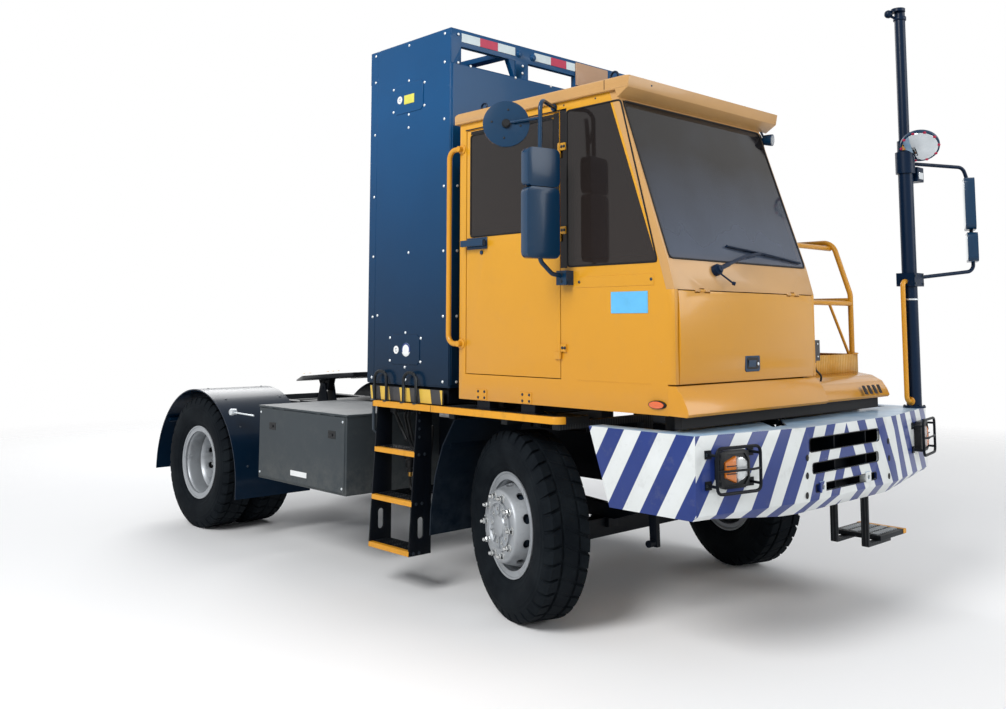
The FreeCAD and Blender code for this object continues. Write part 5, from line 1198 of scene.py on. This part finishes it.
def build_inside():
    seat = pillow("seat_cushion", (SEAT_X, 20, 1800), (500, 520, 130), 4, 20, 5)
    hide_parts("driver_seat")
    pillow("seat_back", (SEAT_X, 262, 2160), (480, 620, 110), 99, 18, 6)
    pillow("seat_headrest", (SEAT_X, 300, 2548), (280, 140, 90), 99, 10, 2)
    base = Shape().block((-740, -400), (-200, 230), (1324, 1360))
    for k in range(7):
        z, w = 1366 + k * 44, 160 if k % 2 else 145
        base.block((SEAT_X - w, SEAT_X + w), (10 - w, 10 + w), (z, z + 42))
    base.block((-800, -340), (-210, 260), (1676, 1712)).use(1)
    for side, word in SIDES:
        pillow("seat_bolster_" + word, (SEAT_X + side * 222, 20, 1812), (70, 470, 120), 4, 8, 1)

        def beside(x, y, z):
            return SEAT_X + side * x, y, z

        base.tube([beside(215, 250, 1700), beside(215, 276, 1950), beside(205, 318, 2380)], 16, 10)
        arm = [beside(244, 290, 2000), beside(246, 240, 2010), beside(246, -60, 1990)]
        base.tube(arc_points(arm, 30), 22, 12)
        base.rod(beside(60, 312, 2420), beside(60, 300, 2530), 7)
    base.rod((-360, -150, 1660), (-330, -230, 1640), 12)
    base.use(2).tube([(-800, 290, 2280), (-760, 200, 2140), (-640, 100, 1960), (-420, 30, 1850),
                      (-345, 30, 1780)], 5, 8)
    base.done("seat_frame", ["gasket", "cabin", "hose"], edge=5)
    seams = Shape()
    for k in range(-2, 3):
        y = 20 + k * 104
        seams.tube([(SEAT_X + x, y, z + k * 7) for x, z in ((-220, 1862), (0, 1876), (220, 1862))], 2.4, 6)
    seams.done("seat_piping", "piping")

    panel = Shape().blocks(((-720, -420), (-858, -800), (1880, 2004)),
                           ((-250, -60), (-820, -796), (1952, 2000)))
    panel.use(1).lathes([(0, 34), (4, 34), (4, 30)], [(x, -798, 1946) for x in (-650, -570, -490)],
                        (0, 1, 0.15), 28)
    panel.use(2).blocks(*[((x, x + 26), (-812, -796), (1900, 1936)) for x in range(-330, -63, 38)])
    panel.done("dash_instruments", ["cabin", "mirror_glass", "plastic"], edge=3)
    pedals = Shape()
    for x in (-690, -560, -450):
        pedals.prism([(x - 34, -700, 1400), (x + 34, -700, 1400), (x + 34, -760, 1500), (x - 34, -760, 1500)],
                     (0, -12, -8))
        pedals.tube([(x, -730, 1450), (x, -800, 1460), (x, -880, 1540)], 9, 8)
    pedals.done("pedals", "plastic", edge=3)
    tilt = radians(40)
    axis = Vector((0, sin(tilt), cos(tilt)))
    v = axis.cross(X)
    hub = Vector((SEAT_X, -600, 2060))
    wheel = Shape().hoop(hub, 222, 15.5, 48, 12, X, v)
    for t in turns(16, pi / 16):
        wheel.lathe([(-5, 16.4), (5, 16.4)], hub + (X * cos(t) + v * sin(t)) * 222, v * cos(t) - X * sin(t), 16)
    for t in (0.15, pi - 0.15, -pi / 2):
        d = X * cos(t) + v * sin(t)
        wheel.tube([hub - axis * 26 + d * 30, hub - axis * 16 + d * 120, hub + d * 214], 11, 8)
    wheel.lathe([(-40, 50), (-8, 56), (4, 48), (8, 20)], hub, axis, 32)
    wheel.done("steering_wheel_rim", "plastic")


build_inside()

# ---- floor and light
REACH = 40.0
floor_mesh = bpy.data.meshes.new("floor")
floor_mesh.from_pydata([(-REACH, -REACH, 0), (REACH, -REACH, 0), (REACH, REACH, 0), (-REACH, REACH, 0)], [],
                       [(0, 1, 2, 3)])
floor = placed("floor", floor_mesh)
ground = Mat("floor_paper")
floor_mesh.materials.append(ground.put(Base_Color=srgb("f5f5f5"), Roughness=0.9))
far = ground.ramp(ground.node("VectorMath", 1, {"operation": "LENGTH"}, i0=ground.co), 5.0, 12.0)
blend = ground.node("MixShader", i0=far, i1=ground.b.outputs[0], i2=ground.node("BsdfTransparent"))
ground.feed(ground.t.nodes["Material Output"].inputs["Surface"], blend)

# rays that see the backdrop get plain white, the others a dimmer and cooler light
world = bpy.data.worlds.new("world")
scene.world = world
world.use_nodes = True
sky = Nodes(world.node_tree)
dim = sky.t.nodes["Background"]
sky.feed(dim.inputs[0], (0.93, 0.96, 1.0, 1))
sky.feed(dim.inputs[1], 0.40)
ray = sky.node("LightPath").node.outputs
seen = sky.math("MAXIMUM", ray["Is Camera Ray"], ray["Is Glossy Ray"])
seen = sky.math("MAXIMUM", seen, ray["Is Transmission Ray"])
choose = sky.node("MixShader", i0=seen, i1=dim.outputs[0], i2=sky.node("Background", i0=(1, 1, 1, 1)))
sky.feed(sky.t.nodes["World Output"].inputs["Surface"], choose)


def lamp(name, at, target, size, power):
    data = bpy.data.lights.new(name, "AREA")
    data.shape = "DISK"
    data.size = size
    data.energy = power
    aim(placed(name, data), at, Vector(target) - Vector(at))


lamp("key", (-9.5, -3.0, 8.0), (0, 0, 1.5), 5.0, 1000)
lamp("fill", (4.0, -10.0, 5.0), (0, -1, 1.5), 6.0, 420)
lamp("back", (3.0, 9.5, 7.0), (0, 1, 1.5), 6.0, 520)
